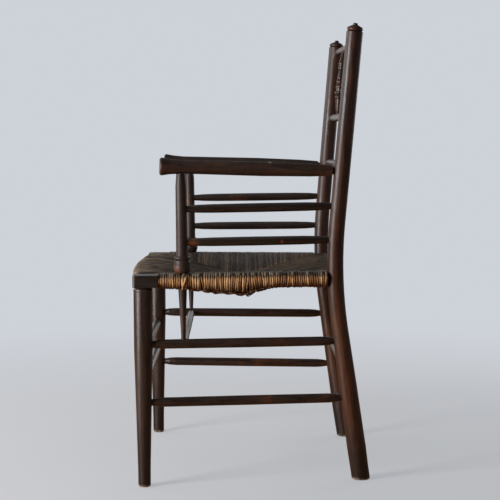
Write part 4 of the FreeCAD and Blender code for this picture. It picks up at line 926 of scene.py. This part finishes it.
world = bpy.data.worlds.new("studio")
bpy.context.scene.world = world
world.use_nodes = True
tree = world.node_tree
straight = tree.nodes.new("ShaderNodeLightPath").outputs["Is Camera Ray"]
soft = add(tree, "Background", Color=ROOM_LIGHT, Strength=ROOM_STRENGTH)
seen = add(tree, "Background", Color=BACKGROUND, Strength=1.0)
surround = blend_shaders(tree, straight, soft.outputs["Background"], seen.outputs["Background"])
tree.links.new(surround, tree.nodes["World Output"].inputs["Surface"])


def soft_light(name, spot, aim, width, height, power):
    """A soft light of a given width and height at spot that looks at aim."""
    lamp = bpy.data.lights.new(name, "AREA")
    lamp.shape = "RECTANGLE"
    lamp.size = width
    lamp.size_y = height
    lamp.energy = power
    holder = bpy.data.objects.new(name, lamp)
    bpy.context.scene.collection.objects.link(holder)
    holder.visible_camera = False
    holder.location = spot
    holder.rotation_mode = "QUATERNION"
    holder.rotation_quaternion = (Vector(aim) - Vector(spot)).to_track_quat("-Z", "Y")


SEAT_MIDDLE = (0.0, 0.0, 0.42)
WALL_AIM = (0.0, -0.9, 0.42)
BACK_MIDDLE = (0.0, 0.2, 0.75)
soft_light("window", (1.3, -2.1, 0.68), SEAT_MIDDLE, width=0.85, height=1.5, power=66.0)
soft_light("ceiling", (-0.3, -0.6, 2.7), SEAT_MIDDLE, width=2.2, height=2.2, power=4.0)
soft_light("wall", (-2.6, -0.9, 1.0), WALL_AIM, width=5.4, height=1.7, power=19.0)
soft_light("room", (-0.9, -2.7, 1.4), BACK_MIDDLE, width=2.4, height=1.1, power=18.0)
soft_light("fill", (0.9, 2.9, 1.1), SEAT_MIDDLE, width=2.6, height=1.7, power=3.5)
soft_light("far_fill", (-2.0, 2.1, 1.3), SEAT_MIDDLE, width=2.0, height=1.6, power=16.0)

# The camera's turns are in radians and its lens in millimetres
CAMERA_PLACE = (2.7728, -0.0261, 0.652)
CAMERA_YAW = 0.0106
CAMERA_PITCH = 0.0821
CAMERA_ROLL = -0.0029
CAMERA_LENS = 98.85
forward = Vector((-math.cos(CAMERA_YAW), math.sin(CAMERA_YAW), 0.0))
right = Vector((math.sin(CAMERA_YAW), math.cos(CAMERA_YAW), 0.0))
up = Vector((0.0, 0.0, 1.0))
ahead = math.cos(CAMERA_PITCH) * forward - math.sin(CAMERA_PITCH) * up
above = math.cos(CAMERA_PITCH) * up + math.sin(CAMERA_PITCH) * forward
across = math.cos(CAMERA_ROLL) * right + math.sin(CAMERA_ROLL) * above
upward = math.cos(CAMERA_ROLL) * above - math.sin(CAMERA_ROLL) * right
eye = bpy.data.cameras.new("camera")
eye.lens = CAMERA_LENS
camera = bpy.data.objects.new("camera", eye)
bpy.context.scene.collection.objects.link(camera)
turn = Matrix((across, upward, -ahead)).transposed().to_4x4()
camera.matrix_world = Matrix.Translation(CAMERA_PLACE) @ turn
bpy.context.scene.camera = camera
bpy.context.scene.view_settings.view_transform = "Standard"
